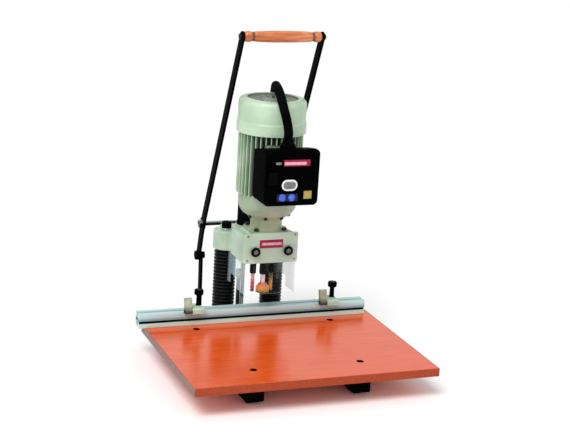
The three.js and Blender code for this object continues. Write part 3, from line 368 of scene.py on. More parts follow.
def plastic(name, base, pale, roughness, grain, shine):
    # moulded plastic with a spark-eroded skin
    finish = Finish(name, **shining(shine))
    shade = finish.ramp(finish.noise(24, 4), (0.3, base), (0.8, pale))
    scratches = finish.ranged(finish.noise(190, 4), 0, 0.6, 0.42, 0.62)
    finish.colour(finish.mixed(shade, pale, finish.maths("MULTIPLY", finish.edges(0.53, 0.66), scratches)))
    finish.rough(finish.noise(110, 5), roughness - 0.07, roughness + 0.09)
    return finish.bump(finish.cells(1500), grain)


def rubber(name):
    finish = Finish(name, **shining(0.2))
    dust = finish.noise(60, 6, sharpness=0.65)
    finish.colour(finish.ramp(dust, (0.35, (6, 7, 9)), (0.62, (12, 13, 16)), (0.85, (40, 42, 46))))
    finish.rough(finish.noise(130, 4), 0.34, 0.56)
    return finish.bump(finish.noise(900, 2), 0.00004)


def anodised(name):
    # drawn aluminium under an anodised skin: die lines along it, a paler lip, and a front face with a painted
    # highlight on its upper part and painted shade darkening towards the shadow line
    finish = Finish(name, 0.25, **shining(0.3))
    drawn = finish.noise(700, 3, stretch=(0.012, 1, 1))
    rise = finish.ranged(finish.along("Z"), 0, 1, boardTop, boardTop + 0.036)
    # by height: the paler lip, painted shade just above the line, and a painted highlight across the upper
    # face
    face = finish.ramp(rise, (0.0, (206, 232, 218)), (0.36, (204, 230, 218)), (0.44, (92, 130, 140)),
                       (0.6, (134, 176, 186)), (0.78, (204, 230, 232)), (1.0, (190, 218, 216)))
    finish.colour(finish.mixed(face, (146, 174, 172), finish.ranged(drawn, 0, 0.3, 0.35, 0.7)))
    finish.rough(finish.noise(420, 4, stretch=(0.03, 1, 1)), 0.42, 0.58)
    return finish.bump(drawn, 0.00004)


def steel(name, base, pale, roughness, stretch, metallic=1.0):
    # ground or turned steel: lines across the stretch, with a little stain
    finish = Finish(name, metallic)
    lines = finish.noise(900, 3, stretch=stretch)
    shade = finish.ramp(lines, (0.3, base), (0.7, pale))
    finish.colour(finish.mixed(shade, base, finish.ranged(finish.noise(40, 5), 0, 0.5, 0.45, 0.75)))
    finish.rough(finish.noise(75, 5), roughness * 0.75, roughness * 1.3)
    return finish.bump(lines, 0.00002)


def undersideShadedSteel(name):
    # bright bar with a painted highlight on its upper side and painted shade on its underside, by which way
    # the surface faces
    finish = Finish(name, 0.9)
    normal = finish.nodes.new("ShaderNodeNewGeometry").outputs["Normal"]
    undersideShare = finish.ranged(finish.along("Z", normal), 0, 1, 0.15, 0.62)
    lines = finish.noise(900, 3, stretch=(0.03, 1, 1))
    litTop = finish.ramp(lines, (0.3, (150, 158, 156)), (0.7, (214, 220, 218)))
    undersideShade = finish.ramp(finish.noise(60, 5), (0.3, (12, 16, 15)), (0.7, (34, 40, 38)))
    # painted shade below, painted highlight above
    finish.colour(finish.mixed(undersideShade, litTop, undersideShare))
    finish.rough(finish.noise(75, 5), 0.2, 0.36)
    return finish.bump(lines, 0.00002)


def turnedWood(name):
    # turned and varnished beech: grain along X, short rays, and painted shade in the groove at each end
    low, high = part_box("grip")
    finish = Finish(name, **{"Coat Weight": 0.25, "Coat Roughness": 0.25})
    grain = finish.noise(75, 6, stretch=(0.09, 1, 1), sharpness=0.62, twist=0.6)
    rays = finish.noise(420, 3, stretch=(0.12, 1, 1))
    body = finish.ramp(grain, (0.25, (146, 62, 24)), (0.5, (200, 112, 60)), (0.75, (236, 166, 116)))
    flecked = finish.mixed(body, (150, 74, 40), finish.ranged(rays, 0, 0.55, 0.54, 0.75))
    share = finish.ranged(finish.maths("ABSOLUTE", finish.along("X")), 0, 1, 0, (high.x - low.x) / 2)
    black, white = (0, 0, 0), (255, 255, 255)
    # painted shade: a dark band over the groove near each end
    groove = finish.ramp(share, (0.73, black), (0.76, white), (0.8, white), (0.84, black))
    finish.colour(finish.mixed(flecked, (104, 48, 26), groove))
    finish.rough(grain, 0.26, 0.42)
    finish.bump(grain, 0.00012)
    return finish.bump(rays, 0.00004)


def clearSheet(name):
    # polycarbonate: see-through face on, hazier at a slant and where it has been rubbed
    finish = Finish(name, IOR=1.5)
    haze = finish.noise(22, 5, sharpness=0.6)
    finish.colour(finish.ramp(haze, (0.3, (168, 198, 206)), (0.7, (194, 218, 224))))
    slant = finish.nodes.new("ShaderNodeLayerWeight")
    slant.inputs["Blend"].default_value = 0.5
    cover = finish.maths("ADD", finish.ranged(slant.outputs["Facing"], 0.008, 0.5, 0.35, 0.9),
                         finish.ranged(haze, -0.006, 0.007, 0.3, 0.7))
    finish.links.new(cover, finish.shader.inputs["Alpha"])
    finish.rough(finish.noise(160, 4), 0.04, 0.16, 0.35)
    return finish.bump(finish.noise(30, 2), 0.00008)


def toolCoat(name, *stops):
    # lacquered tool, darker towards its cutting end; each stop is a height above the tip and a colour
    finish = Finish(name, **shining(0.3))
    reach = stops[-1][0]
    rise = finish.ranged(finish.along("Z"), 0, 1, toolTip, toolTip + reach)
    uneven = finish.maths("ADD", rise, finish.ranged(finish.noise(260, 4), -0.04, 0.04, 0.3, 0.7))
    finish.colour(finish.ramp(uneven, *((height / reach, colour) for height, colour in stops)))
    finish.rough(finish.noise(300, 4), 0.26, 0.44)
    return finish.bump(finish.noise(500, 3), 0.00002)


def blankPlate(name, base, pale, roughness=0.3):
    # printed or moulded plate without any print on it
    finish = Finish(name, **shining(0.2))
    finish.colour(finish.ramp(finish.noise(120, 5), (0.3, base), (0.75, pale)))
    finish.rough(finish.noise(300, 4), roughness - 0.06, roughness + 0.1)
    return finish.bump(finish.noise(500, 3), 0.00002)


finishes = {
    # base, pale and dark colour, roughness, orange peel, grit, sand of the casting, shine
    enamel: {
        "motorGreen": ((175, 200, 171), (206, 225, 202), (150, 180, 147), 0.36, 0.00005, 0.07, 0, 0.5),
        # the grille's darker copy of the motor paint is painted shade in the recess
        "grilleGreen": ((128, 142, 124), (152, 166, 148), (98, 110, 96), 0.5, 0.00005, 0.07, 0, 0.2),
        "shieldGreen": ((150, 168, 144), (182, 196, 176), (124, 142, 118), 0.42, 5e-5, 0.07, 6e-5, 0.35),
        "neckGreen": ((154, 164, 134), (184, 192, 164), (124, 134, 102), 0.42, 0.00005, 0.07, 0.00008, 0.35),
        "castGreen": ((174, 196, 176), (204, 221, 206), (148, 172, 150), 0.45, 0.00005, 0.08, 0.00012, 0.35),
        "plateGreen": ((186, 208, 187), (210, 228, 211), (166, 189, 167), 0.4, 0.00004, 0.06, 0, 0.35),
        "stopCream": ((178, 204, 184), (210, 230, 214), (146, 170, 150), 0.5, 0.00005, 0.08, 0.0001, 0.2),
        "blackEnamel": ((6, 7, 7), (16, 17, 19), (3, 4, 4), 0.36, 0.00004, 0.07, 0, 0.003),
        "paintedScrew": ((136, 144, 126), (160, 168, 150), (96, 104, 88), 0.45, 0.00004, 0.06, 0, 0.2),
    },
    # dark, base and pale colour
    band: {
        "edgeBand": ((104, 72, 66), (132, 98, 90), (150, 116, 108)),
        # the front band is a darker orange than the laminate on top, as painted shade on the front face
        "frontBand": ((140, 48, 18), (160, 60, 26), (174, 74, 36)),
    },
    # base and pale colour, roughness, grain, shine
    plastic: {
        "boxPlastic": ((2, 2, 2), (5, 6, 6), 0.42, 0.00004, 0.002),
        "knobPlastic": ((4, 4, 5), (12, 13, 13), 0.34, 0.00002, 0.01),
        "padRubber": ((4, 4, 5), (11, 12, 12), 0.55, 0.00006, 0.006),
        "holderSteel": ((5, 5, 6), (14, 15, 16), 0.3, 0.00001, 0.03),
    },
    # base and pale colour, roughness, stretch of the ground lines, metal
    steel: {
        "groundSteel": ((176, 180, 183), (222, 225, 227), 0.16, (1, 1, 0.03)),
        "zincSteel": ((168, 172, 168), (214, 216, 210), 0.28, (1, 1, 1)),
        "blackSteel": ((10, 11, 12), (34, 36, 39), 0.36, (1, 1, 0.2), 0.6),
        "carbide": ((92, 94, 100), (140, 142, 148), 0.18, (1, 1, 1)),
    },
    toolCoat: {
        "toolRed": (
            (0, (70, 30, 24)), (0.007, (126, 52, 46)), (0.013, (188, 66, 84)), (0.03, (206, 84, 104)),
            (0.038, (226, 178, 188)), (0.05, (214, 170, 178))),
        "toolOrange": (
            (0, (56, 50, 18)), (0.006, (92, 80, 26)), (0.01, (176, 144, 60)), (0.017, (222, 142, 78)),
            (0.025, (224, 112, 82)), (0.03, (236, 226, 222)), (0.05, (240, 236, 234))),
        "toolYellow": (
            (0, (78, 68, 22)), (0.005, (136, 116, 40)), (0.012, (206, 168, 82)), (0.03, (190, 140, 70)),
            (0.04, (96, 92, 74)), (0.05, (70, 72, 62))),
    },
    # base and pale colour, roughness
    blankPlate: {
        "darkBluePlate": ((10, 14, 60), (18, 26, 84), 0.4),
        "greyPlate": ((96, 98, 100), (128, 130, 132), 0.4),
        "redPlate": ((138, 14, 50), (168, 32, 70)),
        "palePlate": ((206, 210, 212), (232, 234, 234)),
        "pinkPlate": ((204, 150, 166), (226, 178, 190)),
        "bluePlate": ((34, 62, 176), (104, 130, 222), 0.22),
        "yellowPlate": ((142, 126, 50), (186, 168, 88)),
    },
    fingerPaint: {"fingerGreen": ()},
    finPaint: {"finGreen": ()},
    laminate: {"orangeLaminate": ()},
    rubber: {"bellowsRubber": ()},
    anodised: {"anodisedFence": ()},
    undersideShadedSteel: {"axleSteel": ()},
    turnedWood: {"turnedWood": ()},
    clearSheet: {"clearSheet": ()},
}
paint = {name: make(name, *values) for make, rows in finishes.items() for name, values in rows.items()}
print(f"{len(paint)} finishes are made")


# helpers for meshes
turnTo = {  # from a shape drawn along Z to the axis it is wanted along
    "x": Matrix(((0, 0, 1, 0), (1, 0, 0, 0), (0, 1, 0, 0), (0, 0, 0, 1))),
    "y": Matrix(((1, 0, 0, 0), (0, 0, 1, 0), (0, 1, 0, 0), (0, 0, 0, 1))),
    "z": Matrix.Identity(4),
}


def picked(values, *keys):
    return [values[key] for key in keys]


def around(node):
    # a node's box, its middle and half its size
    low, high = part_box(node)
    return low, high, [(a + b) / 2 for a, b in zip(low, high)], [(b - a) / 2 for a, b in zip(low, high)]


def asObject(name, bm):
    bmesh.ops.remove_doubles(bm, verts=bm.verts, dist=nearZero)
    bmesh.ops.recalc_face_normals(bm, faces=bm.faces)
    mesh = bpy.data.meshes.new(name)
    bm.to_mesh(mesh)
    bm.free()
    piece = bpy.data.objects.new(name, mesh)
    scene.collection.objects.link(piece)
    return piece


def applied(piece):
    # keeps what the modifiers make of the mesh, and drops the modifiers
    graph = bpy.context.evaluated_depsgraph_get()
    graph.update()
    old = piece.data
    new = bpy.data.meshes.new_from_object(piece.evaluated_get(graph), depsgraph=graph)
    piece.modifiers.clear()
    piece.data = new
    new.name = piece.name
    bpy.data.meshes.remove(old)
    return piece


def dropped(piece):
    mesh = piece.data
    bpy.data.objects.remove(piece)
    bpy.data.meshes.remove(mesh)


def softened(piece, width, steps=2, angle=30):
    edge = piece.modifiers.new("edge", "BEVEL")
    edge.width, edge.segments = width, steps
    edge.limit_method = "ANGLE"
    edge.angle_limit = math.radians(angle)
    return applied(piece)


def combined(piece, *others, operation="UNION"):
    for other in others:
        tool = piece.modifiers.new("tool", "BOOLEAN")
        tool.operation = operation
        tool.solver = "EXACT"
        tool.object = other
    applied(piece)
    for other in others:
        dropped(other)
    return piece


def carved(piece, *cutters):
    return combined(piece, *cutters, operation="DIFFERENCE")


def castSkin(piece, grain=0.0015):
    # one skin over joined solids, with the soft fillets of a sand casting
    skin = piece.modifiers.new("skin", "REMESH")
    skin.mode = "VOXEL"
    skin.voxel_size = grain
    fillet = piece.modifiers.new("fillet", "SMOOTH")
    fillet.factor, fillet.iterations = 0.5, 3
    return applied(piece)


def settled(piece, body, material, slotName, *nodes, sharp=38):
    # last step of every piece: its material, its normals, the body it rides on and its nodes
    mesh = piece.data
    mesh.materials.clear()
    mesh.materials.append(paint[material])
    for face in mesh.polygons:
        face.material_index = 0
    mesh.shade_smooth()
    mesh.set_sharp_from_angle(angle=math.radians(sharp))
    flat = piece.modifiers.new("flat", "WEIGHTED_NORMAL")
    flat.keep_sharp = True
    applied(piece)
    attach(piece, body)
    if nodes:
        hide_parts(*nodes)
    return piece


def spun(piece, angle, centre=motorAxis):
    # turns a piece drawn beside the origin about Z, and moves it to its centre
    piece.data.transform(Matrix.Translation(centre) @ Matrix.Rotation(angle, 4, "Z"))
    return piece


def roundedCorners(points, radius=0.0, steps=4, closed=True):
    # an outline with each corner replaced by an arc, as wide as its sides allow; a third
    # number in a point is that corner's own radius
    made = []
    count = len(points)
    for i, point in enumerate(points):
        corner = Vector(point[:2])
        own = point[2] if len(point) > 2 else radius
        before = Vector(points[i - 1][:2]) - corner
        after = Vector(points[(i + 1) % count][:2]) - corner
        isEnd = not closed and i in (0, count - 1)
        if isEnd or own < nearZero or before.angle(after) > math.radians(178):
            made.append(tuple(corner))
            continue
        opening = before.angle(after)
        reach = min(own / math.tan(opening / 2), before.length * 0.48, after.length * 0.48)
        start = corner + before.normalized() * reach
        end = corner + after.normalized() * reach
        middle = corner + (before.normalized() + after.normalized()).normalized() * (
            reach / math.cos(opening / 2))
        for step in range(steps + 1):
            spoke = (start - middle).lerp(end - middle, step / steps)
            made.append(tuple(middle + spoke.normalized() * (start - middle).length))
    return made


# shapes that bend a turned circle, as shares of its radius
def hexShape(angle):
    return math.cos(math.pi / 6) / math.cos((angle + math.pi / 6) % (math.pi / 3) - math.pi / 6)


def fluteShape(count, depth):
    return lambda angle: 1 - depth * max(0, math.cos(angle * count)) ** 1.5


def knurlShape(count, depth=0.05):
    return lambda angle: 1 - depth * abs((angle * count / math.pi) % 2 - 1)


def ringOf(bm, radius, height, segments, shape=None):
    if radius < nearZero:
        return [bm.verts.new((0, 0, height))]
    ring = []
    for i in range(segments):
        angle = i / segments * math.tau
        reach = radius * (shape(angle) if shape else 1)
        ring.append(bm.verts.new((reach * math.cos(angle), reach * math.sin(angle), height)))
    return ring


def skinned(name, bm, rings, place, capped=True):
    # faces from ring to ring, where a ring of one vertex is a point on the axis; then flat ends,
    # or a bore from the last ring to the first
    segments = max(map(len, rings))
    loops = list(zip(rings, rings[1:]))
    if not capped and len(rings[0]) > 1 and len(rings[-1]) > 1:
        loops.append((rings[-1], rings[0]))
    for lower, upper in loops:
        for i in range(segments):
            j = (i + 1) % segments
            below, above = [lower[k % len(lower)] for k in (i, j)], [upper[k % len(upper)] for k in (j, i)]
            corners = list(dict.fromkeys(below + above))
            if len(corners) > 2:
                bm.faces.new(corners)
    if capped:
        bm.faces.new(rings[0])
        bm.faces.new(rings[-1])
    bm.transform(place)
    return asObject(name, bm)


def gathered(name, pieces):
    # several meshes as one object, without joining their skins
    bm = bmesh.new()
    for piece in pieces:
        bm.from_mesh(piece.data)
        dropped(piece)
    return asObject(name, bm)


def placing(axis, centre):
    turn = turnTo[axis] if isinstance(axis, str) else axis.to_track_quat("Z", "Y").to_matrix().to_4x4()
    return Matrix.Translation(Vector(centre)) @ turn


def turned(name, axis, centre, profile, segments=64, rounding=0.0, steps=3):
    # a profile of (radius, height) or (radius, height, shape), turned about an axis, which is a
    # letter or the direction as a vector
    if rounding:
        closed = profile[0][0] > nearZero and profile[-1][0] > nearZero
        profile = roundedCorners(profile, rounding, steps, closed)
    bm = bmesh.new()
    rings = [ringOf(bm, radius, height, segments, *shape) for radius, height, *shape in profile]
    return skinned(name, bm, rings, placing(axis, centre), capped=False)


def extruded(name, axis, outline, low, high, *holes):
    # outline in (y, z) for axis x, (x, z) for axis y and (x, y) for axis z
    low, high = sorted((low, high))
    bm = bmesh.new()
    if holes:
        for loop in (outline, *holes):
            verts = [bm.verts.new((a, b, low)) for a, b in loop]
            for i, vert in enumerate(verts):
                bm.edges.new((vert, verts[(i + 1) % len(verts)]))
        bmesh.ops.triangle_fill(bm, use_beauty=True, edges=bm.edges)
    else:
        bm.faces.new([bm.verts.new((a, b, low)) for a, b in outline])
    grown = bmesh.ops.extrude_face_region(bm, geom=bm.faces[:])
    top = [item for item in grown["geom"] if isinstance(item, bmesh.types.BMVert)]
    bmesh.ops.translate(bm, verts=top, vec=(0, 0, high - low))
    bm.transform(turnTo[axis])
    return asObject(name, bm)


def rectangle(startA, endA, startB, endB, radius=0.0, steps=6):
    (lowA, highA), (lowB, highB) = sorted((startA, endA)), sorted((startB, endB))
    corners = [(lowA, lowB), (highA, lowB), (highA, highB), (lowA, highB)]
    return roundedCorners(corners, radius, steps) if radius else corners


def facing(low, high, inset=0.0, radius=0.0, steps=6):
    # a box as it is seen from the front
    return rectangle(low.x + inset, high.x - inset, low.z + inset, high.z - inset, radius, steps)


def seenFromAbove(low, high, radius=0.0):
    return rectangle(low.x, high.x, low.y, high.y, radius)


def block(name, low, high):
    low, high = Vector(low), Vector(high)
    return extruded(name, "z", seenFromAbove(low, high), low.z, high.z)


def roundBar(name, axis, centre, radius, start, end, segments=64, rounding=0.0):
    low, high = sorted((start, end))
    profile = [(0, low), (radius, low), (radius, high), (0, high)]
    return turned(name, axis, centre, profile, segments, rounding)


def bore(axis, centre, radius, low, high, segments=48):
    # a cutter for a round hole; it runs past both ends
    return roundBar("bore", axis, centre, radius, low - over, high + over, segments)


def circle(a, b, radius, segments=48):
    return [(a + radius * math.cos(i / segments * math.tau), b + radius * math.sin(i / segments * math.tau))
            for i in range(segments)]


def barOutline(points, halfWidth, steps=14):
    # outline of a bar along a bent line, with round ends and mitred bends
    line = [Vector(point) for point in points]
    ways = [(b - a).normalized() for a, b in zip(line, line[1:])]
    normals = [Vector((-way.y, way.x)) for way in ways]
    left, right = [], []
    for i in range(1, len(line) - 1):
        mitre = (normals[i - 1] + normals[i]).normalized()
        mitre *= halfWidth / mitre.dot(normals[i])
        left.append(line[i] + mitre)
        right.append(line[i] - mitre)

    def roundEnd(centre, normal):
        start = math.atan2(normal.y, normal.x)
        angles = [start + math.pi * k / steps for k in range(steps + 1)]
        return [centre + halfWidth * Vector((math.cos(angle), math.sin(angle))) for angle in angles]
    outline = roundEnd(line[0], normals[0]) + right + roundEnd(line[-1], -normals[-1]) + left[::-1]
    return [tuple(point) for point in outline]


def sweptTube(name, line, radii, segments):
    # a round tube along points, its radius given for each of them
    bm = bmesh.new()
    rings = []
    aside = Vector((1, 0, 0))
    for i, point in enumerate(line):
        way = (line[min(i + 1, len(line) - 1)] - line[max(i - 1, 0)]).normalized()
        aside = (aside - way * aside.dot(way)).normalized()
        across = way.cross(aside)
        angles = [k / segments * math.tau for k in range(segments)]
        rings.append([bm.verts.new(point + radii[i] * (aside * math.cos(angle) + across * math.sin(angle)))
                      for angle in angles])
    return skinned(name, bm, rings, Matrix.Identity(4))


def smoothLine(points, count):
    # a centripetal curve through points, as evenly spaced samples
    line = [points[0] * 2 - points[1], *points, points[-1] * 2 - points[-2]]
    dense = []
    for i in range(1, len(line) - 2):
        before, start, end, after = line[i - 1:i + 3]
        knots = [0]
        for a, b in ((before, start), (start, end), (end, after)):
            knots.append(knots[-1] + max(math.sqrt((b - a).length), nearZero))

        def between(a, b, low, high, t):
            return a.lerp(b, (t - low) / (high - low))
        for step in range(40):
            t = knots[1] + (knots[2] - knots[1]) * step / 40
            a1 = between(before, start, knots[0], knots[1], t)
            a2 = between(start, end, knots[1], knots[2], t)
            a3 = between(end, after, knots[2], knots[3], t)
            b1 = between(a1, a2, knots[0], knots[2], t)
            b2 = between(a2, a3, knots[1], knots[3], t)
            dense.append(between(b1, b2, knots[1], knots[2], t))
    dense.append(line[-2])
    reach = [0]
    for a, b in zip(dense, dense[1:]):
        reach.append(reach[-1] + (b - a).length)
    samples, k = [], 0
    for i in range(count):
        wanted = reach[-1] * i / (count - 1)
        while k < len(reach) - 2 and reach[k + 1] < wanted:
            k += 1
        share = (wanted - reach[k]) / max(reach[k + 1] - reach[k], nearZero)
        samples.append(dense[k].lerp(dense[k + 1], share))
    return samples, reach[-1]


def threadedRod(name, centre, radius, pitch, low, high):
    # a screw thread as a ridge that climbs one pitch each turn
    thread = {"depth": 0.0005, "segments": 32, "ringsPerPitch": 4}
    steps = int((high - low) / pitch * thread["ringsPerPitch"])
    bm = bmesh.new()
    rings = []
    for i in range(steps + 1):
        height = low + (high - low) * i / steps

        def ridge(angle, height=height):
            wave = abs(((height / pitch - angle / math.tau) % 1) * 2 - 1)
            return 1 - thread["depth"] / radius * wave
        rings.append(ringOf(bm, radius, height, thread["segments"], ridge))
    return skinned(name, bm, rings, placing("z", centre))


def socketScrew(name, centre, radius, tall, material, body, *nodes, shank=None):
    # cap screw whose head stands from its seat, at the centre
    socket = radius * 0.58
    profile = [(0, 0), (radius, 0), (radius, tall * 0.86), (radius * 0.92, tall), (socket * 1.08, tall),
               (socket, tall * 0.97, hexShape), (socket, tall * 0.45, hexShape), (0, tall * 0.38)]
    if shank:
        shankRadius, shankLength = shank
        profile = [(0, -shankLength), (shankRadius, -shankLength), (shankRadius, 0)] + profile[1:]
    settled(turned(name, "z", centre, profile, 48), body, material, "dark_steel", *nodes)


def hexBolt(name, centre, radius, tall, washer):
    # washer, hexagon head with its turned chamfer and a little dome
    top = washer + tall
    bolt = turned(name, "z", centre, [
        (0, 0), (radius * 1.35, 0), (radius * 1.35, washer), (radius * 0.97, washer, hexShape),
        (radius, washer + tall * 0.1, hexShape), (radius, washer + tall * 0.86, hexShape),
        (radius * 0.86, top), (0, top)], 48)
    settled(bolt, "frame", "zincSteel", "dark_steel")


print("helpers are ready")


# rails, their end plugs and the rubber pads
def makeRails():
    rails = {
        "wall": 0.003, "corner": 0.0035, "plugDepth": 0.002, "plugInset": 0.0002, "plugEdge": 0.0007,
        "mitre": 0.054, "lugThickness": 0.008, "lugHalf": 0.018, "lugCorner": 0.004, "edge": 0.0006,
    }
    wall, corner, depth, inset = picked(rails, "wall", "corner", "plugDepth", "plugInset")
    for side, sign in sides.items():
        low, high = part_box(f"rail_{side}")
        middle = around(f"foot_pad_front_{side}")[2][0]
        inner, outer = (high.x, low.x) if side == "left" else (low.x, high.x)
        half = abs(inner - middle)
        front, back = low.y + depth, high.y
        slant = rails["mitre"] / (high.z - low.z)
        tube = extruded(
            f"rail_{side}_tube", "y", rectangle(middle - half, middle + half, low.z, high.z, corner),
            front, back,
            rectangle(middle - half + wall, middle + half - wall, low.z + wall, high.z - wall, corner / 2))
        lugY = around(f"table_screw_rear_{side}")[2][1]
        near = middle + sign * (half - wall / 2)
        lugTop = high.z - wall
        lug = extruded("lug", "z", rectangle(
            near, outer, lugY - rails["lugHalf"], lugY + rails["lugHalf"], rails["lugCorner"]),
            lugTop - rails["lugThickness"], lugTop)
        aboveZ, belowZ = high.z + over, low.z - over
        cutY = [back - depth - slant * (z - low.z) for z in (aboveZ, belowZ)]
        carved(tube, extruded("mitre", "x", [
            (cutY[0], aboveZ), (cutY[1], belowZ), (back + over, belowZ), (back + over, aboveZ)],
            low.x - over, high.x + over))
        softened(tube, rails["edge"])
        softened(lug, rails["edge"])
        settled(combined(tube, lug), "frame", "blackEnamel", "black_paint", f"rail_{side}")
        plugLeft, plugRight = middle - half + inset, middle + half - inset
        plugLow, plugHigh = low.z + inset, high.z - inset
        plugY = [back - slant * (z - low.z) for z in (plugHigh, plugLow)]
        for plug in (
                extruded(f"rail_plug_front_{side}", "y", rectangle(
                    plugLeft, plugRight, plugLow, plugHigh, corner), low.y, front),
                extruded(f"rail_plug_rear_{side}", "x", [
                    (plugY[0] - depth, plugHigh), (plugY[0], plugHigh), (plugY[1], plugLow),
                    (plugY[1] - depth, plugLow)], plugLeft, plugRight)):
            softened(plug, rails["plugEdge"], 3)
            settled(plug, "frame", "padRubber", "black_paint")
        for end in ("front", "rear"):
            node = f"foot_pad_{end}_{side}"
            padLow, padHigh, (x, y, _), (radius, _, _) = around(node)
            pad = turned(f"{node}_moulded", "z", (x, y, 0), [
                (0, 0.0012), (0.005, 0.0012), (0.006, padLow.z), (radius * 0.93, padLow.z), (radius, 0.0012),
                (radius * 0.97, 0.0022), (radius * 0.95, padHigh.z), (0, padHigh.z)], 56, 0.0003)
            settled(pad, "frame", "padRubber", "black_rubber", node)


# the board: laminate slab with counterbored holes, each lined with a black sleeve as painted shade, and a
# band on each edge that shows
def makeBoard():
    board = {"band": 0.0012, "edge": 0.0011, "bandEdge": 0.0005, "holeRadius": 0.0086, "boreDepth": 0.0122,
             "shank": 0.004, "headHeight": 0.008, "chamfer": 0.0006, "shadeSleeve": 0.0004, "screwBore": 0.0045}
    low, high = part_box("table_board")
    inset, radius, chamfer, shadeSleeve, screwBore = picked(
        board, "band", "holeRadius", "chamfer", "shadeSleeve", "screwBore")
    slab = extruded("table_board_slab", "z", rectangle(low.x + inset, high.x - inset, low.y + inset, high.y),
                    low.z, high.z)
    softened(slab, board["edge"], 3)
    cutters = []
    floor = high.z - board["boreDepth"]
    for screw in [f"table_screw_{end}_{side}" for end in ("front", "rear") for side in sides]:
        screwLow, screwHigh, (x, y, _), (screwRadius, _, _) = around(screw)
        cutters.append(turned("hole", "z", (x, y, 0), [
            (0, low.z - over), (screwBore, low.z - over), (screwBore, floor), (radius, floor),
            (radius, high.z - chamfer), (radius + chamfer, high.z), (radius + chamfer, high.z + 0.001),
            (0, high.z + 0.001)], 40))
        seat = screwHigh.z - board["headHeight"]
        socketScrew(f"{screw}_cap", (x, y, seat), screwRadius, board["headHeight"], "boxPlastic", "frame",
                    screw, shank=(board["shank"], seat - screwLow.z))
        # a black sleeve lines each counterbore, as painted shade in the hole
        tube = turned(f"{screw}_sleeve", "z", (x, y, 0), [
            (radius, floor), (radius, high.z - shadeSleeve), (radius - shadeSleeve, high.z - shadeSleeve),
            (radius - shadeSleeve, floor), (radius, floor)], 48)
        settled(tube, "frame", "boxPlastic", "black_plastic")
    settled(carved(slab, *cutters), "frame", "orangeLaminate", "laminate_board", "table_board", sharp=30)
    # the front band's darker colour is painted shade
    for end, material, outline in (
            ("left", "edgeBand", rectangle(low.x, low.x + inset, low.y, high.y)),
            ("right", "edgeBand", rectangle(high.x, high.x - inset, low.y, high.y)),
            ("front", "frontBand", rectangle(low.x + inset, high.x - inset, low.y, low.y + inset))):
        strip = softened(extruded(f"table_edge_band_{end}", "z", outline, low.z, high.z), board["bandEdge"])
        settled(strip, "frame", material, "laminate_board")


# bed casting, its bolts, the columns with their caps, and the bellows
def makeBed():
    bed = {"plate": 0.010, "corner": 0.006, "edge": 0.002, "foot": 0.004, "ribHalf": 0.013,
           "bossRadius": 0.031, "rodBore": 0.0063, "frontInset": 0.02, "rearInset": 0.032}
    bolt = {"radius": 0.0075, "tall": 0.0062, "washer": 0.0016}
    low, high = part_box("bed_casting")
    top = high.z - bed["plate"]
    foot = low.z + bed["foot"]
    radius = bed["bossRadius"]
    plate = extruded("bed_casting_skin", "z", seenFromAbove(low, high, bed["corner"]), low.z, top)
    softened(plate, bed["edge"], 3)
    parts, bores, middles = [], [], []
    for side in sides:
        _, _, (x, y, _), (columnRadius, _, _) = around(f"column_{side}")
        middles.append((x, y))
        parts.append(turned("boss", "z", (x, y, 0), [
            (0, foot), (radius + 0.003, foot), (radius + 0.003, top), (radius, top + 0.004), (radius, high.z),
            (0, high.z)], 72, 0.0015))
        bores.append(bore("z", (x, y, 0), columnRadius + touchGap, low.z, high.z, 72))
    (leftX, middleY), (rightX, _) = middles
    parts.append(block("rib", (leftX, middleY - bed["ribHalf"], foot),
                       (rightX, middleY + bed["ribHalf"], high.z - 0.001)))
    for node in ("return_rod", "depth_stop_rod"):
        x, y, _ = around(node)[2]
        bores.append(bore("z", (x, y, 0), bed["rodBore"], low.z, high.z, 40))
    combined(plate, *parts)
    carved(plate, *bores)
    settled(castSkin(plate), "frame", "castGreen", "grey_green_paint", "bed_casting", sharp=60)
    for side in sides:
        x = around(f"foot_pad_front_{side}")[2][0]
        for end, y in (("front", low.y + bed["frontInset"]), ("rear", high.y - bed["rearInset"])):
            hexBolt(f"bed_bolt_{end}_{side}", (x, y, top), **bolt)


def makeColumns():
    column = {"capHeight": 0.0160, "capFall": 0.0025, "capEdge": 0.0007, "socket": 0.0045}
    for side in sides:
        low, high, (x, y, _), (radius, _, _) = around(f"column_{side}")
        capFoot = high.z - column["capHeight"]
        socket = column["socket"]
        rod = roundBar(f"column_{side}_rod", "z", (x, y, 0), radius, low.z, capFoot, 72, 0.0008)
        settled(rod, "frame", "groundSteel", "steel", f"column_{side}")
        cap = turned(f"column_cap_{side}", "z", (x, y, 0), [
            (0, capFoot + 0.0002), (radius, capFoot + 0.0002), (radius, high.z - column["capFall"]),
            (radius * 0.82, high.z), (socket, high.z), (0.004, high.z - socket, hexShape),
            (0, high.z - socket)], 72)
        settled(softened(cap, column["capEdge"], 2, 40), "frame", "blackEnamel", "black_paint")


def makeBellows():
    bellows = {"pleats": 17, "collar": 0.005, "valley": 0.0215, "bore": 0.015, "ridge": 0.0009}
    valley, inside, collar = bellows["valley"], bellows["bore"], bellows["collar"]
    collarRadius = valley + 0.0012
    for side in sides:
        low, high, (x, y, _), (_, outer, _) = around(f"bellows_{side}")
        start = low.z + collar
        pitch = (high.z - low.z - collar * 2) / bellows["pleats"]
        profile = [(inside, low.z), (collarRadius, low.z), (collarRadius, start - 0.001), (valley, start)]
        for pleat in range(bellows["pleats"]):
            bottom = start + pleat * pitch
            profile += [
                (outer, bottom + pitch * 0.42), (outer, bottom + pitch * 0.58), (valley, bottom + pitch)]
        profile += [(collarRadius, high.z - collar + 0.001), (collarRadius, high.z), (inside, high.z)]
        piece = turned(f"bellows_{side}_pleats", "z", (x, y, 0), profile, 72, bellows["ridge"], 2)
        settled(piece, "frame", "bellowsRubber", "black_rubber", f"bellows_{side}", sharp=50)
        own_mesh(piece)


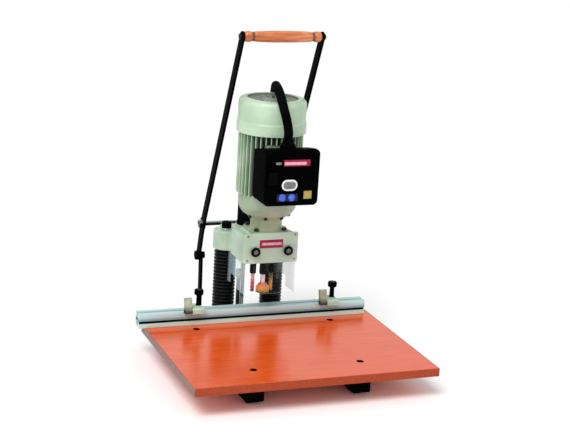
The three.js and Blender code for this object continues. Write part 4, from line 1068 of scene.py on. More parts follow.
# return rod with its spring tube, and the depth stop
def makeReturnSpring():
    low, high, (x, y, _), (radius, _, _) = around("return_rod")
    rod = roundBar("return_rod_bar", "z", (x, y, 0), radius, low.z, high.z, 48, 0.0006)
    settled(rod, "frame", "groundSteel", "steel", "return_rod")
    tube = {"cap": 0.012, "foot": 0.008, "bore": 0.0075, "seam": 0.0012, "roof": 0.004}
    low, high, _, (outer, _, _) = around("return_spring_tube")
    seam, foot, cap, roof = tube["seam"], low.z + tube["foot"], high.z - tube["cap"], high.z - tube["roof"]
    shell = turned("return_spring_tube_shell", "z", (x, y, 0), [
        (tube["bore"], low.z), (outer, low.z), (outer, foot), (outer - seam, foot + seam),
        (outer - seam, cap - seam), (outer, cap), (outer, high.z - 0.005), (outer - 0.005, high.z),
        (0.006, high.z), (0.005, high.z - 0.002), (0, high.z - 0.002), (0, roof), (tube["bore"], roof)], 72,
        0.0015, 4)
    settled(shell, "head", "blackEnamel", "black_paint", "return_spring_tube")


def makeDepthStop():
    stop = {"rod": 0.005, "pitch": 0.0015, "nutRadius": 0.010, "nutHeight": 0.010, "washer": 0.0018,
            "plate": 0.010, "bore": 0.0053, "roof": 0.0027, "knurls": 36}
    low, high, (x, y, _), _ = around("depth_stop_rod")
    rod = threadedRod("depth_stop_rod_thread", (x, y, 0), stop["rod"], stop["pitch"], low.z, high.z)
    settled(rod, "frame", "blackSteel", "dark_steel", "depth_stop_rod", sharp=80)
    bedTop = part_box("bed_casting")[1].z - stop["plate"]
    hexBolt("depth_stop_nut", (x, y, bedTop + touchGap), stop["nutRadius"], stop["nutHeight"], stop["washer"])
    low, high, _, (radius, _, _) = around("depth_stop_head")
    knurl = knurlShape(stop["knurls"])
    inside, roof = stop["bore"], high.z - stop["roof"]
    cap = turned("depth_stop_head_knurled", "z", (x, y, 0), [
        (inside, low.z), (radius * 0.93, low.z), (radius * 0.97, low.z + 0.0008, knurl),
        (radius, low.z + 0.0012, knurl), (radius, low.z + 0.012, knurl), (radius * 0.9, low.z + 0.0128),
        (radius * 0.9, low.z + 0.0142), (radius, low.z + 0.015), (radius, high.z - 0.002),
        (radius * 0.8, high.z - 0.0004), (0, high.z), (0, roof), (inside, roof)], 144)
    settled(cap, "depth_stop_head", "zincSteel", "steel", "depth_stop_head", sharp=34)


makeRails()
makeBoard()
makeBed()
makeColumns()
makeBellows()
makeReturnSpring()
makeDepthStop()
print("rails, board, bed and columns are made")


# fence extrusion with its slots, drawn line and chamber, and a black strip in the line as painted shade
def makeFence():
    fence = {"lip": 0.0105, "line": 0.0065, "lineDepth": 0.005, "stripDepth": 0.002, "stripGap": 0.0002,
             "slot": 0.008, "neck": 0.003, "room": 0.015, "roomHeight": 0.006, "corner": 0.003, "wall": 0.004,
             "grooveDrop": 0.0095, "grooveWidth": 0.0018, "grooveDepth": 0.0012, "rounding": 0.0005}
    low, high, (_, middle, _), _ = around("fence")
    front, back, top, wall, gap = low.y, high.y, high.z, fence["wall"], fence["stripGap"]
    lineFloor = low.z + fence["lip"]
    lineTop = lineFloor + fence["line"]
    lineBack = front + fence["lineDepth"]
    groove, grooveHalf = top - fence["grooveDrop"], fence["grooveWidth"] / 2
    slot, room = fence["slot"] / 2, fence["room"] / 2
    neck = top - fence["neck"]
    roomFloor = neck - fence["roomHeight"]
    outline = roundedCorners([
        (front, low.z), (back, low.z), (back, top), (middle + slot, top), (middle + slot, neck),
        (middle + room, neck), (middle + room, roomFloor), (middle - room, roomFloor), (middle - room, neck),
        (middle - slot, neck), (middle - slot, top), (front, top, fence["corner"]),
        (front, groove + grooveHalf), (front + fence["grooveDepth"], groove), (front, groove - grooveHalf),
        (front, lineTop), (lineBack, lineTop), (lineBack, lineFloor), (front, lineFloor)],
        fence["rounding"], 2)
    chamber = rectangle(lineBack + wall, back - wall, low.z + wall, roomFloor - wall, 0.001, 3)
    settled(extruded("fence_extrusion", "x", outline, low.x, high.x, chamber),
            "frame", "anodisedFence", "fence_aluminium", "fence", sharp=25)
    # a black strip set into the line, as painted shade in the groove
    strip = block("fence_line_shade_strip", (low.x + 0.001, lineBack - fence["stripDepth"], lineFloor + gap),
                  (high.x - 0.001, lineBack - 0.0001, lineTop - gap))
    settled(softened(strip, 0.0003), "frame", "padRubber", "black_rubber")


# flip stops: clamp body, knob with its stem, and a finger flipped up on a pin at the left end
def makeStops():
    stop = {"apron": 0.012, "pinDrop": 0.006, "pinRadius": 0.003, "edge": 0.0012, "fingerEdge": 0.0008,
            "fingerGap": 0.0005, "stemBore": 0.004, "boardGap": 0.007, "halfFinger": 0.006, "rise": 0.007,
            "flipTurn": math.radians(-195)}
    knob = {"radius": 0.0115, "height": 0.014, "flutes": 8, "fluteDepth": 0.19, "screw": 0.0035,
            "insert": 0.0042}
    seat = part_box("fence")[1].z + touchGap
    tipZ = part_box("table_board")[1].z + stop["boardGap"]
    flutes = fluteShape(knob["flutes"], knob["fluteDepth"])
    rise, half, pinRadius = stop["rise"], stop["halfFinger"], stop["pinRadius"]
    radius, screw, recess = knob["radius"], knob["screw"], knob["insert"] + 0.0004
    for side in sides:
        low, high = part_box(f"stop_body_{side}")
        fingerLow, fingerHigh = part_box(f"stop_finger_{side}")
        knobLow, knobHigh, (knobX, knobY, _), _ = around(f"stop_knob_{side}")
        apronBack = low.y + stop["apron"]
        bodyLeft = fingerHigh.x + stop["fingerGap"]
        body = extruded(f"stop_body_{side}_cast", "x", roundedCorners([
            (low.y, low.z, 0.001), (apronBack, low.z, 0.001), (apronBack, seat, 0.0005),
            (high.y, seat, 0.001), (high.y, high.z, 0.003), (low.y, high.z, 0.004)]), bodyLeft, high.x)
        softened(body, stop["edge"], 3)
        carved(body, bore("z", (knobX, knobY, 0), stop["stemBore"], seat, high.z, 40))
        settled(body, f"stop_{side}", "stopCream", "cream_paint", f"stop_body_{side}")
        pinY, pinZ = low.y + stop["apron"] / 2, high.z - stop["pinDrop"]
        pin = roundBar(f"stop_pin_{side}", "x", (0, pinY, pinZ), pinRadius, low.x + 0.0002, bodyLeft + 0.002,
                       40, 0.0006)
        settled(pin, f"stop_{side}", "blackSteel", "dark_steel")

        # drawn hanging down, then flipped up
        outline = roundedCorners([
            (pinY - half, tipZ, 0.001), (pinY + half, tipZ, 0.001), (pinY + half, pinZ - rise * 0.6),
            (pinY + rise, pinZ), (pinY + rise, pinZ + rise, rise * 0.95),
            (pinY - rise, pinZ + rise, rise * 0.95), (pinY - rise, pinZ), (pinY - half, pinZ - rise * 0.6)],
            0.0015, 8)
        finger = extruded(f"stop_finger_{side}_cast", "x", outline, fingerLow.x, fingerHigh.x,
                          circle(pinY, pinZ, pinRadius + 0.0001, 40))
        softened(finger, stop["fingerEdge"])
        pivot = Matrix.Translation((0, pinY, pinZ))
        finger.data.transform(pivot @ Matrix.Rotation(stop["flipTurn"], 4, "X") @ pivot.inverted())
        settled(finger, f"stop_finger_{side}", "fingerGreen", "grey_green_paint", f"stop_finger_{side}")

        top = knobHigh.z
        crown = top - knob["height"]
        stemFoot = high.z + touchGap
        moulded = turned(f"stop_knob_{side}_moulded", "z", (knobX, knobY, 0), [
            (0, knobLow.z), (screw - 0.0006, knobLow.z), (screw, knobLow.z + 0.0006), (screw, stemFoot),
            (0.0068, stemFoot), (0.007, stemFoot + 0.0006), (0.0062, stemFoot + 0.004),
            (0.0058, crown - 0.003), (0.0072, crown), (radius * 0.86, crown + 0.0004, flutes),
            (radius * 0.97, crown + 0.0016, flutes), (radius, crown + 0.003, flutes),
            (radius, top - 0.003, flutes), (radius * 0.96, top - 0.0012, flutes),
            (radius * 0.84, top - 0.0002, flutes), (radius * 0.6, top), (recess, top - 0.0003),
            (recess, top - 0.0012), (0, top - 0.0012)], 128)
        settled(moulded, f"stop_knob_{side}", "knobPlastic", "black_plastic", f"stop_knob_{side}")
        insert = turned(f"stop_knob_insert_{side}", "z", (knobX, knobY, 0), [
            (0, top - 0.001), (knob["insert"], top - 0.001), (knob["insert"], top - 0.0005),
            (0, top - 0.0002)], 40, 0.0002)
        settled(insert, f"stop_knob_{side}", "blackSteel", "dark_steel")


# head casting that slides on the columns
def makeHead():
    head = {"halfWidth": 0.069, "boxDepth": 0.100, "boxHeight": 0.072, "saddleHeight": 0.048,
            "corner": 0.004, "seatCorner": 0.01, "wall": 0.012,
            "cavityHalfWidth": 0.056, "cavityDepth": 0.076, "bossRadius": 0.0325, "lugInner": 0.030,
            "lugOuter": 0.054, "lugRise": 0.024, "lugRadius": 0.009, "grain": 0.0017, "topFlat": 0.008,
            "topFall": 0.009, "neckGap": 0.0005, "columnBore": 0.013, "rodBore": 0.0068, "axleBore": 0.0087,
            "axleReach": 0.07, "spindleBore": 0.0112, "sideBore": 0.0092, "neckBore": 0.024,
            "stopBore": 0.0125, "stopDepth": 0.028}
    _, front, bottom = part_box("head_casting")[0]
    half, wall, gap = head["halfWidth"], head["wall"], head["neckGap"]
    top = bottom + head["boxHeight"]
    saddleTop = bottom + head["saddleHeight"]
    back = front + head["boxDepth"]
    backTop = top - head["topFall"]
    columns = [around(f"column_{side}")[2][:2] for side in sides]
    saddleHalf = columns[1][0]
    tubeLow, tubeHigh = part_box("return_spring_tube")
    axleY, axleZ = around("lever_axle")[2][1:]
    casting = extruded("head_casting_skin", "z", rectangle(-half, half, front, back, head["corner"]),
                       bottom, top)
    parts = [
        block("saddle", (-saddleHalf, back - wall, bottom), (saddleHalf, tubeHigh.y - wall, saddleTop)),
        extruded("seat", "z", rectangle(
            tubeLow.x, tubeHigh.x, back, tubeHigh.y, head["seatCorner"]), bottom, saddleTop),
        extruded("slope", "x", [
            (back - wall, saddleTop - wall), (back + backTop - saddleTop + 0.004, saddleTop - 0.002),
            (back, backTop), (back - wall, backTop)], -half + wall, half - wall),
    ]
    for x, y in columns:
        parts.append(roundBar("boss", "z", (x, y, 0), head["bossRadius"], bottom, saddleTop, 96))
    for sign in sides.values():
        near, far = sorted((sign * head["lugInner"], sign * head["lugOuter"]))
        parts.append(block("lug", (near, tubeLow.y, bottom + head["lugRise"]), (far, axleY, saddleTop)))
        parts.append(roundBar("lugEnd", "x", (0, axleY, axleZ), head["lugRadius"], near, far))
    combined(casting, *parts)
    cutters = [block("cavity", (-head["cavityHalfWidth"], front - over, bottom + wall),
                     (head["cavityHalfWidth"], front + head["cavityDepth"], top - wall))]
    flange = neckHigh.x + gap
    for start, xLow, xHigh in (
            (front + head["topFlat"], -half - over, -flange), (front + head["topFlat"], flange, half + over),
            (neckHigh.y + gap, -flange, flange)):
        cutters.append(extruded("fall", "x", [
            (start, top), (back, backTop), (back + over, backTop), (back + over, top + over),
            (start, top + over)], xLow, xHigh))
    rodX, rodY, _ = around("return_rod")[2]
    cutters += [
        bore("z", (rodX, rodY, 0), head["rodBore"], bottom, saddleTop),
        bore("x", (0, axleY, axleZ), head["axleBore"], -head["axleReach"], head["axleReach"]),
        bore("z", motorAxis, head["spindleBore"], bottom, bottom + wall, 64),
        bore("z", motorAxis, head["neckBore"], top - wall, top, 64)]
    for x, y in columns:
        cutters.append(bore("z", (x, y, 0), head["columnBore"], bottom, top, 72))
    for node, radius, depth in (
            ("spindle_left", head["sideBore"], wall), ("spindle_right", head["sideBore"], wall),
            ("depth_stop_head", head["stopBore"], head["stopDepth"])):
        x, y, _ = around(node)[2]
        cutters.append(bore("z", (x, y, 0), radius, bottom, bottom + depth))
    castSkin(carved(casting, *cutters), head["grain"])
    settled(casting, "head", "castGreen", "grey_green_paint", "head_casting", sharp=60)


# front plate with its screws, and the blank red plate
def makeFrontPlate():
    plate = {"corner": 0.004, "edge": 0.0006, "stemHole": 0.0045, "inset": 0.008, "screwRadius": 0.003,
             "screwHeights": {"low": 0.0002, "high": 0.0014}, "badge": (-0.031, 0.030, 0.287, 0.308),
             "badgeCorner": 0.0015, "badgeHeight": 0.0002, "rim": 0.0035, "rimHigh": 0.0075}
    low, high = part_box("front_plate")
    knobs = [around(f"guard_knob_{side}")[2] for side in sides]
    holes = [circle(x, z, plate["stemHole"], 32) for x, _, z in knobs]
    panel = extruded("front_plate_panel", "y", facing(low, high, 0, plate["corner"]), low.y, high.y, *holes)
    softened(panel, plate["edge"], 3)
    settled(panel, "head", "plateGreen", "grey_green_paint", "front_plate")
    inset, radius = plate["inset"], plate["screwRadius"]
    for side, sign in sides.items():
        x = (low.x if side == "left" else high.x) - sign * inset
        for level, z in (("low", low.z + inset), ("high", high.z - inset * 0.8)):
            height = plate["screwHeights"][level]
            screw = turned(f"front_plate_screw_{level}_{side}", "y", (x, low.y, z), [
                (0, 0), (radius, 0), (radius * 0.8, -height), (radius * 0.5, -height, hexShape),
                (radius * 0.5, -height * 0.4, hexShape), (0, -height * 0.4)], 48)
            settled(screw, "head", "paintedScrew", "dark_steel")
    xLow, xHigh, zLow, zHigh = plate["badge"]
    face = low.y - plate["badgeHeight"]
    badge = extruded("front_badge_blank", "y", rectangle(xLow, xHigh, zLow, zHigh, plate["badgeCorner"]),
                     face, low.y)
    settled(badge, "head", "redPlate", "grey_green_paint")
    rim, rimHigh = plate["rim"], plate["rimHigh"]
    stripe = extruded("front_badge_stripe", "y", rectangle(
        xLow + rim * 2, xHigh - rim, zLow + rimHigh, zHigh - rimHigh),
        low.y - plate["badgeHeight"] * 1.3, face)
    settled(stripe, "head", "pinkPlate", "grey_green_paint")


# clear guard bent from one sheet, and the knobs that clamp it
def makeGuard():
    guard = {"sheet": 0.003, "bend": 0.004, "edge": 0.0004, "notch": (0.012, 0.060), "notchTop": 0.196,
             "notchCorner": 0.006, "stemHole": 0.0045}
    low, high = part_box("guard")
    sheet, bend = guard["sheet"], guard["bend"]
    inside, left, right = low.y + sheet, low.x - over, high.x + over
    outline = [
        (low.x, high.y), (low.x, low.y, bend), (high.x, low.y, bend), (high.x, high.y),
        (high.x - sheet, high.y), (high.x - sheet, inside, bend - sheet),
        (low.x + sheet, inside, bend - sheet), (low.x + sheet, high.y)]
    piece = extruded("guard_sheet", "z", roundedCorners(outline, steps=6), low.z, high.z)
    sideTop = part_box("head_casting")[0].z - touchGap
    notchLow, notchHigh = (axisY + value for value in guard["notch"])
    cutters = [
        block("trim", (left, inside, sideTop), (right, high.y + over, high.z + over)),
        extruded("notch", "x", rectangle(
            notchLow, notchHigh, low.z - over * 2, guard["notchTop"], guard["notchCorner"]), left, right),
    ]
    knobs = {side: around(f"guard_knob_{side}") for side in sides}
    for _, _, (x, _, z), _ in knobs.values():
        cutters.append(bore("y", (x, 0, z), guard["stemHole"], low.y, inside, 32))
    softened(carved(piece, *cutters), guard["edge"])
    settled(piece, "head", "clearSheet", "clear_guard", "guard", sharp=30)
    knob = {"radius": 0.012, "height": 0.008, "flutes": 10, "fluteDepth": 0.13, "stem": 0.004,
            "recess": 0.0045, "insert": 0.0062, "insertRise": 0.003, "socketDepth": 0.001}
    flutes = fluteShape(knob["flutes"], knob["fluteDepth"])
    radius, stem, insert, rise = picked(knob, "radius", "stem", "insert", "insertRise")
    inner, socketDepth = insert + 0.0003, knob["socketDepth"]
    for side, (knobLow, knobHigh, (x, _, z), _) in knobs.items():
        front = knobLow.y
        seat = front + knob["height"]
        floor = front + knob["recess"]
        moulded = turned(f"guard_knob_{side}_moulded", "y", (x, 0, z), [
            (0, knobHigh.y), (stem, knobHigh.y), (stem, seat), (radius * 0.8, seat),
            (radius * 0.95, seat - 0.0008, flutes), (radius, seat - 0.0024, flutes),
            (radius, front + 0.0032, flutes), (radius * 0.95, front + 0.0012, flutes),
            (radius * 0.84, front + 0.0002, flutes), (radius * 0.72, front), (inner, front + 0.0008),
            (inner, floor), (0, floor)], 120)
        settled(moulded, f"guard_knob_{side}", "knobPlastic", "black_plastic", f"guard_knob_{side}")
        screw = turned(f"guard_knob_insert_{side}", "y", (x, floor, z), [
            (0, 0), (insert, 0), (insert, -0.0022), (insert * 0.8, -rise), (insert * 0.5, -rise, hexShape),
            (insert * 0.5, -socketDepth, hexShape), (0, -socketDepth)], 48)
        settled(screw, f"guard_knob_{side}", "greyPlate", "dark_steel")


# motor: neck, lower shield, finned body, disc and fan cowl
def makeNeck():
    neck = {"radius": 0.039, "bore": 0.024, "flange": 0.0077, "corner": 0.008, "foot": 0.004,
            "collar": 0.0015, "screwRadius": 0.0058, "screwHeight": 0.0062, "inset": 0.0095}
    low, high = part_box("motor_neck")
    radius, inset = neck["radius"], neck["inset"]
    foot, collar = radius + neck["foot"], radius + neck["collar"]
    flangeTop = low.z + neck["flange"]
    piece = extruded("motor_neck_skin", "z", seenFromAbove(low, high, neck["corner"]), low.z, flangeTop)
    tower = turned("tower", "z", motorAxis, [
        (0, low.z), (foot, low.z), (foot, flangeTop), (radius + 0.001, flangeTop + 0.003),
        (radius, flangeTop + 0.006), (radius, high.z - 0.004), (collar, high.z - 0.003), (collar, high.z),
        (0, high.z)], 128, 0.001)
    carved(combined(piece, tower), bore("z", motorAxis, neck["bore"], low.z, high.z, 64))
    settled(castSkin(piece), "head", "neckGreen", "pale_green_paint", "motor_neck", sharp=60)
    for side, sign in sides.items():
        x = (low.x if side == "left" else high.x) - sign * inset
        for end, y in (("front", low.y + inset), ("rear", high.y - inset)):
            socketScrew(f"neck_screw_{end}_{side}", (x, y, flangeTop), neck["screwRadius"],
                        neck["screwHeight"], "blackSteel", "head")


def makeShield():
    shield = {"bore": 0.014, "foot": 0.047, "rim": 0.0035, "step": 0.0008, "room": 0.041, "screws": 8}
    screw = {"radius": 0.0042, "height": 0.0042, "socket": 0.0024, "floor": 0.0018}
    low, high, _, (radius, _, _) = around("motor_lower_shield")
    inside, foot, room, rim = picked(shield, "bore", "foot", "room", "rim")
    run = radius - foot
    edge = radius - shield["step"]
    piece = turned("motor_lower_shield_cast", "z", motorAxis, [
        (inside, low.z), (foot, low.z), (radius - run * 0.36, low.z + run * 0.5),
        (radius - run * 0.08, low.z + run), (radius, low.z + run * 1.6), (radius, high.z - rim * 2.2),
        (edge, high.z - rim * 2), (edge, high.z), (room, high.z), (room, low.z + run),
        (inside, low.z + run * 0.7)], 128, 0.012, 6)
    settled(piece, "head", "shieldGreen", "motor_aluminium", "motor_lower_shield")
    slope = Vector((run * 0.5, 0, -run * 0.64)).normalized()
    wide, tall, socket, floor = picked(screw, "radius", "height", "socket", "floor")
    for i in range(shield["screws"]):
        angle = math.tau * (i + 0.5) / shield["screws"]
        spoke = Vector((math.cos(angle), math.sin(angle), 0))
        place = Vector((axisX, axisY, low.z + run * 0.2)) + spoke * (foot + run * 0.25)
        way = spoke * slope.x + Vector((0, 0, slope.z))
        piece = turned(f"shield_screw_{i}", way, place, [
            (0, -0.001), (wide, -0.001), (wide, tall - 0.0006), (wide - 0.0006, tall),
            (socket, tall, hexShape), (socket, floor, hexShape), (0, floor)], 48)
        settled(piece, "head", "blackSteel", "dark_steel")


def makeStator():
    stator = {"core": 0.063, "fin": 0.079, "root": 0.0019, "tip": 0.0013, "tipCorner": 0.0011, "fins": 38,
              "bore": 0.041, "padHalf": 0.034, "padReach": 0.0697, "padInset": 0.022, "padGap": 0.006,
              "padCorner": 0.004, "endRing": 0.006, "ringStep": 0.0025, "inset": 0.0006,
              "shortFront": 0.019, "shortRear": 0.012}
    low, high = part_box("motor_body")
    core, root, tip, inset, padHalf = picked(stator, "core", "root", "tip", "inset", "padHalf")
    fin = stator["fin"] - 0.0002
    angles = [(i + 0.5) * math.tau / stator["fins"] for i in range(stator["fins"])]
    shorts = [i for i, angle in enumerate(angles)
              if abs(math.cos(angle)) * stator["fin"] < padHalf + stator["padGap"]]
    outline = []
    for i, angle in enumerate(angles):
        way = Vector((math.cos(angle), math.sin(angle)))
        aside = Vector((-way.y, way.x))
        corners = ((core, 0),) if i in shorts else ((core, -root), (fin, -tip), (fin, tip), (core, root))
        outline += [tuple(way * reach + aside * offset) for reach, offset in corners]
    outline = [(axisX + x, axisY + y) for x, y in roundedCorners(outline, stator["tipCorner"], 2)]
    piece = extruded("motor_body_fins", "z", outline, low.z + inset, high.z - inset,
                     circle(axisX, axisY, stator["bore"], 64))
    settled(piece, "head", "finGreen", "motor_aluminium", "motor_body", sharp=50)
    for i in shorts:
        tall = stator["shortFront"] if math.sin(angles[i]) < 0 else stator["shortRear"]
        short = extruded(f"motor_body_short_fin_{i}", "z", rectangle(
            core - 0.002, fin, -tip, tip, stator["tipCorner"], 3), high.z - tall, high.z - inset)
        settled(spun(short, angles[i]), "head", "finGreen", "motor_aluminium")
    tall, rim = stator["endRing"], core + stator["ringStep"]
    for end, level in (("low", low.z), ("high", high.z - tall)):
        ring = turned(f"motor_body_ring_{end}", "z", motorAxis, [
            (stator["bore"], level), (rim, level), (rim, level + tall), (stator["bore"], level + tall)],
            128, 0.0006)
        settled(ring, "head", "finGreen", "motor_aluminium")
    for end, sign in (("front", -1), ("rear", 1)):
        pad = extruded(f"motor_body_pad_{end}", "y", rectangle(
            axisX - padHalf, axisX + padHalf, low.z + stator["padInset"], high.z - stator["padInset"],
            stator["padCorner"]), axisY + sign * core * 0.8, axisY + sign * stator["padReach"])
        settled(softened(pad, 0.0008), "head", "shieldGreen", "motor_aluminium")


def makeCowl():
    disc = {"bore": 0.014, "hub": 0.026, "rim": 0.004, "fall": 0.004}
    low, high, _, (radius, _, _) = around("motor_upper_disc")
    inside, hub, rim, floor = disc["bore"], disc["hub"], radius - disc["rim"], high.z - disc["fall"]
    piece = turned("motor_upper_disc_cast", "z", motorAxis, [
        (inside, low.z), (radius, low.z), (radius, high.z), (rim, high.z), (rim - 0.002, floor),
        (hub + 0.004, floor), (hub, high.z), (inside, high.z)], 128, 0.0008)
    settled(piece, "head", "motorGreen", "motor_aluminium", "motor_upper_disc")
    cowl = {"band": 0.027, "inset": 0.002, "wall": 0.003, "shoulder": 0.013, "arcSteps": 8, "grille": 0.061,
            "grilleDepth": 0.005, "slots": 16, "slotWidth": 0.006, "slotInner": 0.024, "slotOuter": 0.055,
            "slotCorner": 0.0029, "screws": 4, "screwRadius": 0.0034, "screwHeight": 0.0017,
            "screwLevel": 0.010}
    low, high, _, (band, _, _) = around("fan_cowl")
    rim, wall, shoulder, grille = band - cowl["inset"], cowl["wall"], cowl["shoulder"], cowl["grille"]
    floor = high.z - cowl["grilleDepth"]

    def dome(offset, top):
        angles = [step / cowl["arcSteps"] * math.pi / 2 for step in range(cowl["arcSteps"] + 1)]
        return [(rim - offset - (shoulder - offset) * (1 - math.cos(angle)),
                 top - (shoulder - offset) * (1 - math.sin(angle))) for angle in angles]
    ringBottom = low.z + cowl["band"]
    inner = [point for point in dome(wall, high.z - wall) if point[1] < floor - wall][::-1]
    shell = turned("fan_cowl_shell", "z", motorAxis, [
        (band - wall, low.z), (band - 0.0008, low.z), (band, low.z + 0.0008), (band, ringBottom - 0.0012),
        (band - 0.0008, ringBottom), (rim + 0.0002, ringBottom + 0.0012), (rim, ringBottom + 0.003),
        *dome(0, high.z), (grille + 0.0012, high.z), (grille, high.z - 0.001), (grille, floor), (0, floor),
        (0, floor - wall), (grille + wall, floor - wall), *inner, (rim - wall, ringBottom),
        (band - wall, ringBottom - wall)], 144)
    slots = []
    for i in range(cowl["slots"]):
        slot = extruded("slot", "z", rectangle(
            cowl["slotInner"], cowl["slotOuter"], -cowl["slotWidth"] / 2, cowl["slotWidth"] / 2,
            cowl["slotCorner"], 4), floor - over, floor + over)
        slots.append(spun(slot, math.tau * i / cowl["slots"]))
    carved(shell, gathered("slots", slots))
    settled(shell, "head", "motorGreen", "pale_green_paint", "fan_cowl")
    # the grille recess and its wall get the darker paint, as painted shade
    shell.data.materials.append(paint["grilleGreen"])
    for face in shell.data.polygons:
        reach = math.hypot(face.center.x - axisX, face.center.y - axisY)
        if reach < grille + 0.001 and face.center.z > floor - wall - 0.001:
            face.material_index = 1
    screwRadius, tall = cowl["screwRadius"], cowl["screwHeight"]
    for i in range(cowl["screws"]):
        angle = math.tau * (i + 0.5) / cowl["screws"]
        spoke = Vector((math.cos(angle), math.sin(angle), 0))
        place = Vector((axisX, axisY, low.z + cowl["screwLevel"])) + spoke * (band - 0.0018)
        screw = turned(f"cowl_screw_{i}", spoke, place, [
            (0, 0), (screwRadius, 0), (screwRadius, 0.001), (screwRadius * 0.7, tall), (0, tall)], 32, 0.0003)
        settled(screw, "head", "blackSteel", "dark_steel")
    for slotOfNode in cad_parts["motor_rotor"].material_slots:
        slotOfNode.material = paint["knobPlastic"]


# switch box, its cover and blank plates, the rocker and the mains gland
def makeSwitchBox():
    box = {"corner": 0.012, "wall": 0.004, "edge": 0.0015, "frameRise": 0.0012, "roofFall": 0.013,
           "bossRadius": 0.019, "glandBore": 0.009, "inletBore": 0.005, "panelCorner": 0.007, "gap": 0.0006,
           "panelInsets": (0.0045, 0.0115, 0.0105), "rimEdge": 0.0004, "holeCorner": 0.001}
    low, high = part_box("switch_box")
    wall, corner = box["wall"], box["corner"]
    roof = high.z - box["roofFall"]
    tray = extruded("switch_box_tray", "y", facing(low, high, 0, corner, 8), low.y, high.y)
    room = extruded("room", "y", rectangle(
        low.x + wall, high.x - wall, low.z + wall, roof - wall, corner - wall), low.y - over, high.y - wall)
    carved(tray, extruded("fall", "x", [
        (low.y, high.z), (high.y, roof), (high.y + over, roof), (high.y + over, high.z + over),
        (low.y, high.z + over)], low.x - over, high.x + over))
    x, y, _ = around("gland_switch_box")[2]
    _, inletY, inletZ = around("mains_inlet_gland")[2]
    radius = box["bossRadius"]
    boss = turned("boss", "z", (x, y, 0), [
        (0, roof), (radius, roof), (radius, high.z - 0.001), (radius - 0.001, high.z), (0, high.z)])
    softened(tray, box["edge"], 3)
    combined(tray, boss)
    carved(tray, room, bore("z", (x, y, 0), box["glandBore"], roof - over, high.z, 40),
           bore("x", (0, inletY, inletZ), box["inletBore"], high.x - over, high.x, 32))
    settled(tray, "head", "boxPlastic", "black_plastic", "switch_box")
    low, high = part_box("switch_box_cover")
    rockerLow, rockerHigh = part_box("rocker_switch")
    face = low.y + box["frameRise"]
    aside, below, above = box["panelInsets"]
    cover = extruded("switch_box_cover_moulded", "y", facing(low, high, 0, corner, 8), low.y, high.y)
    softened(cover, box["edge"], 3)
    sunk = extruded("sunk", "y", rectangle(
        low.x + aside, high.x - aside, low.z + below, high.z - above, box["panelCorner"]), low.y - over, face)
    hole = extruded("hole", "y", facing(rockerLow, rockerHigh, -box["gap"], box["holeCorner"]),
                    low.y - over, high.y + over)
    softened(carved(cover, sunk, hole), box["rimEdge"], 2, 50)
    settled(cover, "head", "boxPlastic", "black_plastic", "switch_box_cover")
    blanks = {
        # x from, x to, z from, z to, corner, finish
        "band": (-0.020, 0.046, 0.5155, 0.5305, 0.001, "redPlate"),
        "bandStripe": (-0.0185, 0.036, 0.5185, 0.5255, 0.001, "pinkPlate"),
        "tab": (-0.040, -0.026, 0.5195, 0.5255, 0.002, "greyPlate"),
        "oval": (-0.0225, 0.0165, 0.4565, 0.4830, 0.0130, "palePlate"),
        "ovalMiddle": (-0.0185, 0.0125, 0.4605, 0.4790, 0.0090, "greyPlate"),
        "strip": (-0.0330, 0.0190, 0.4305, 0.4490, 0.0020, "darkBluePlate"),
        "buttonOne": (-0.0285, -0.0108, 0.4312, 0.4488, 0.0087, "bluePlate"),
        "buttonTwo": (-0.0052, 0.0125, 0.4312, 0.4488, 0.0087, "bluePlate"),
        "tile": (0.0335, 0.0535, 0.4360, 0.4550, 0.0012, "yellowPlate"),
    }
    blank = {"edge": 0.00015, "back": 0.00005, "rise": 0.0011, "liftedRise": 0.00115,
             "lifted": ("bandStripe", "ovalMiddle", "buttonOne", "buttonTwo")}
    for name, (*reach, blankCorner, material) in blanks.items():
        rise = blank["liftedRise" if name in blank["lifted"] else "rise"]
        plate = extruded(f"switch_box_blank_{name}", "y", rectangle(*reach, blankCorner, 10),
                         face - rise, face - blank["back"])
        settled(softened(plate, blank["edge"]), "head", material, "black_plastic")
    screw = {"inset": 0.0062, "profile": [
        (0, 0.0005), (0.0029, 0.0005), (0.0029, -0.0001), (0.0022, -0.0004), (0.0011, -0.0004),
        (0.0009, 0.0003), (0, 0.0003)]}
    inset = screw["inset"]
    for side, sign in sides.items():
        x = (low.x if side == "left" else high.x) - sign * inset * 1.5
        for level, z in (("low", low.z + inset * 0.95), ("high", high.z - inset * 0.9)):
            piece = turned(f"switch_box_screw_{level}_{side}", "y", (x, low.y, z), screw["profile"], 32)
            settled(piece, "head", "knobPlastic", "dark_steel")


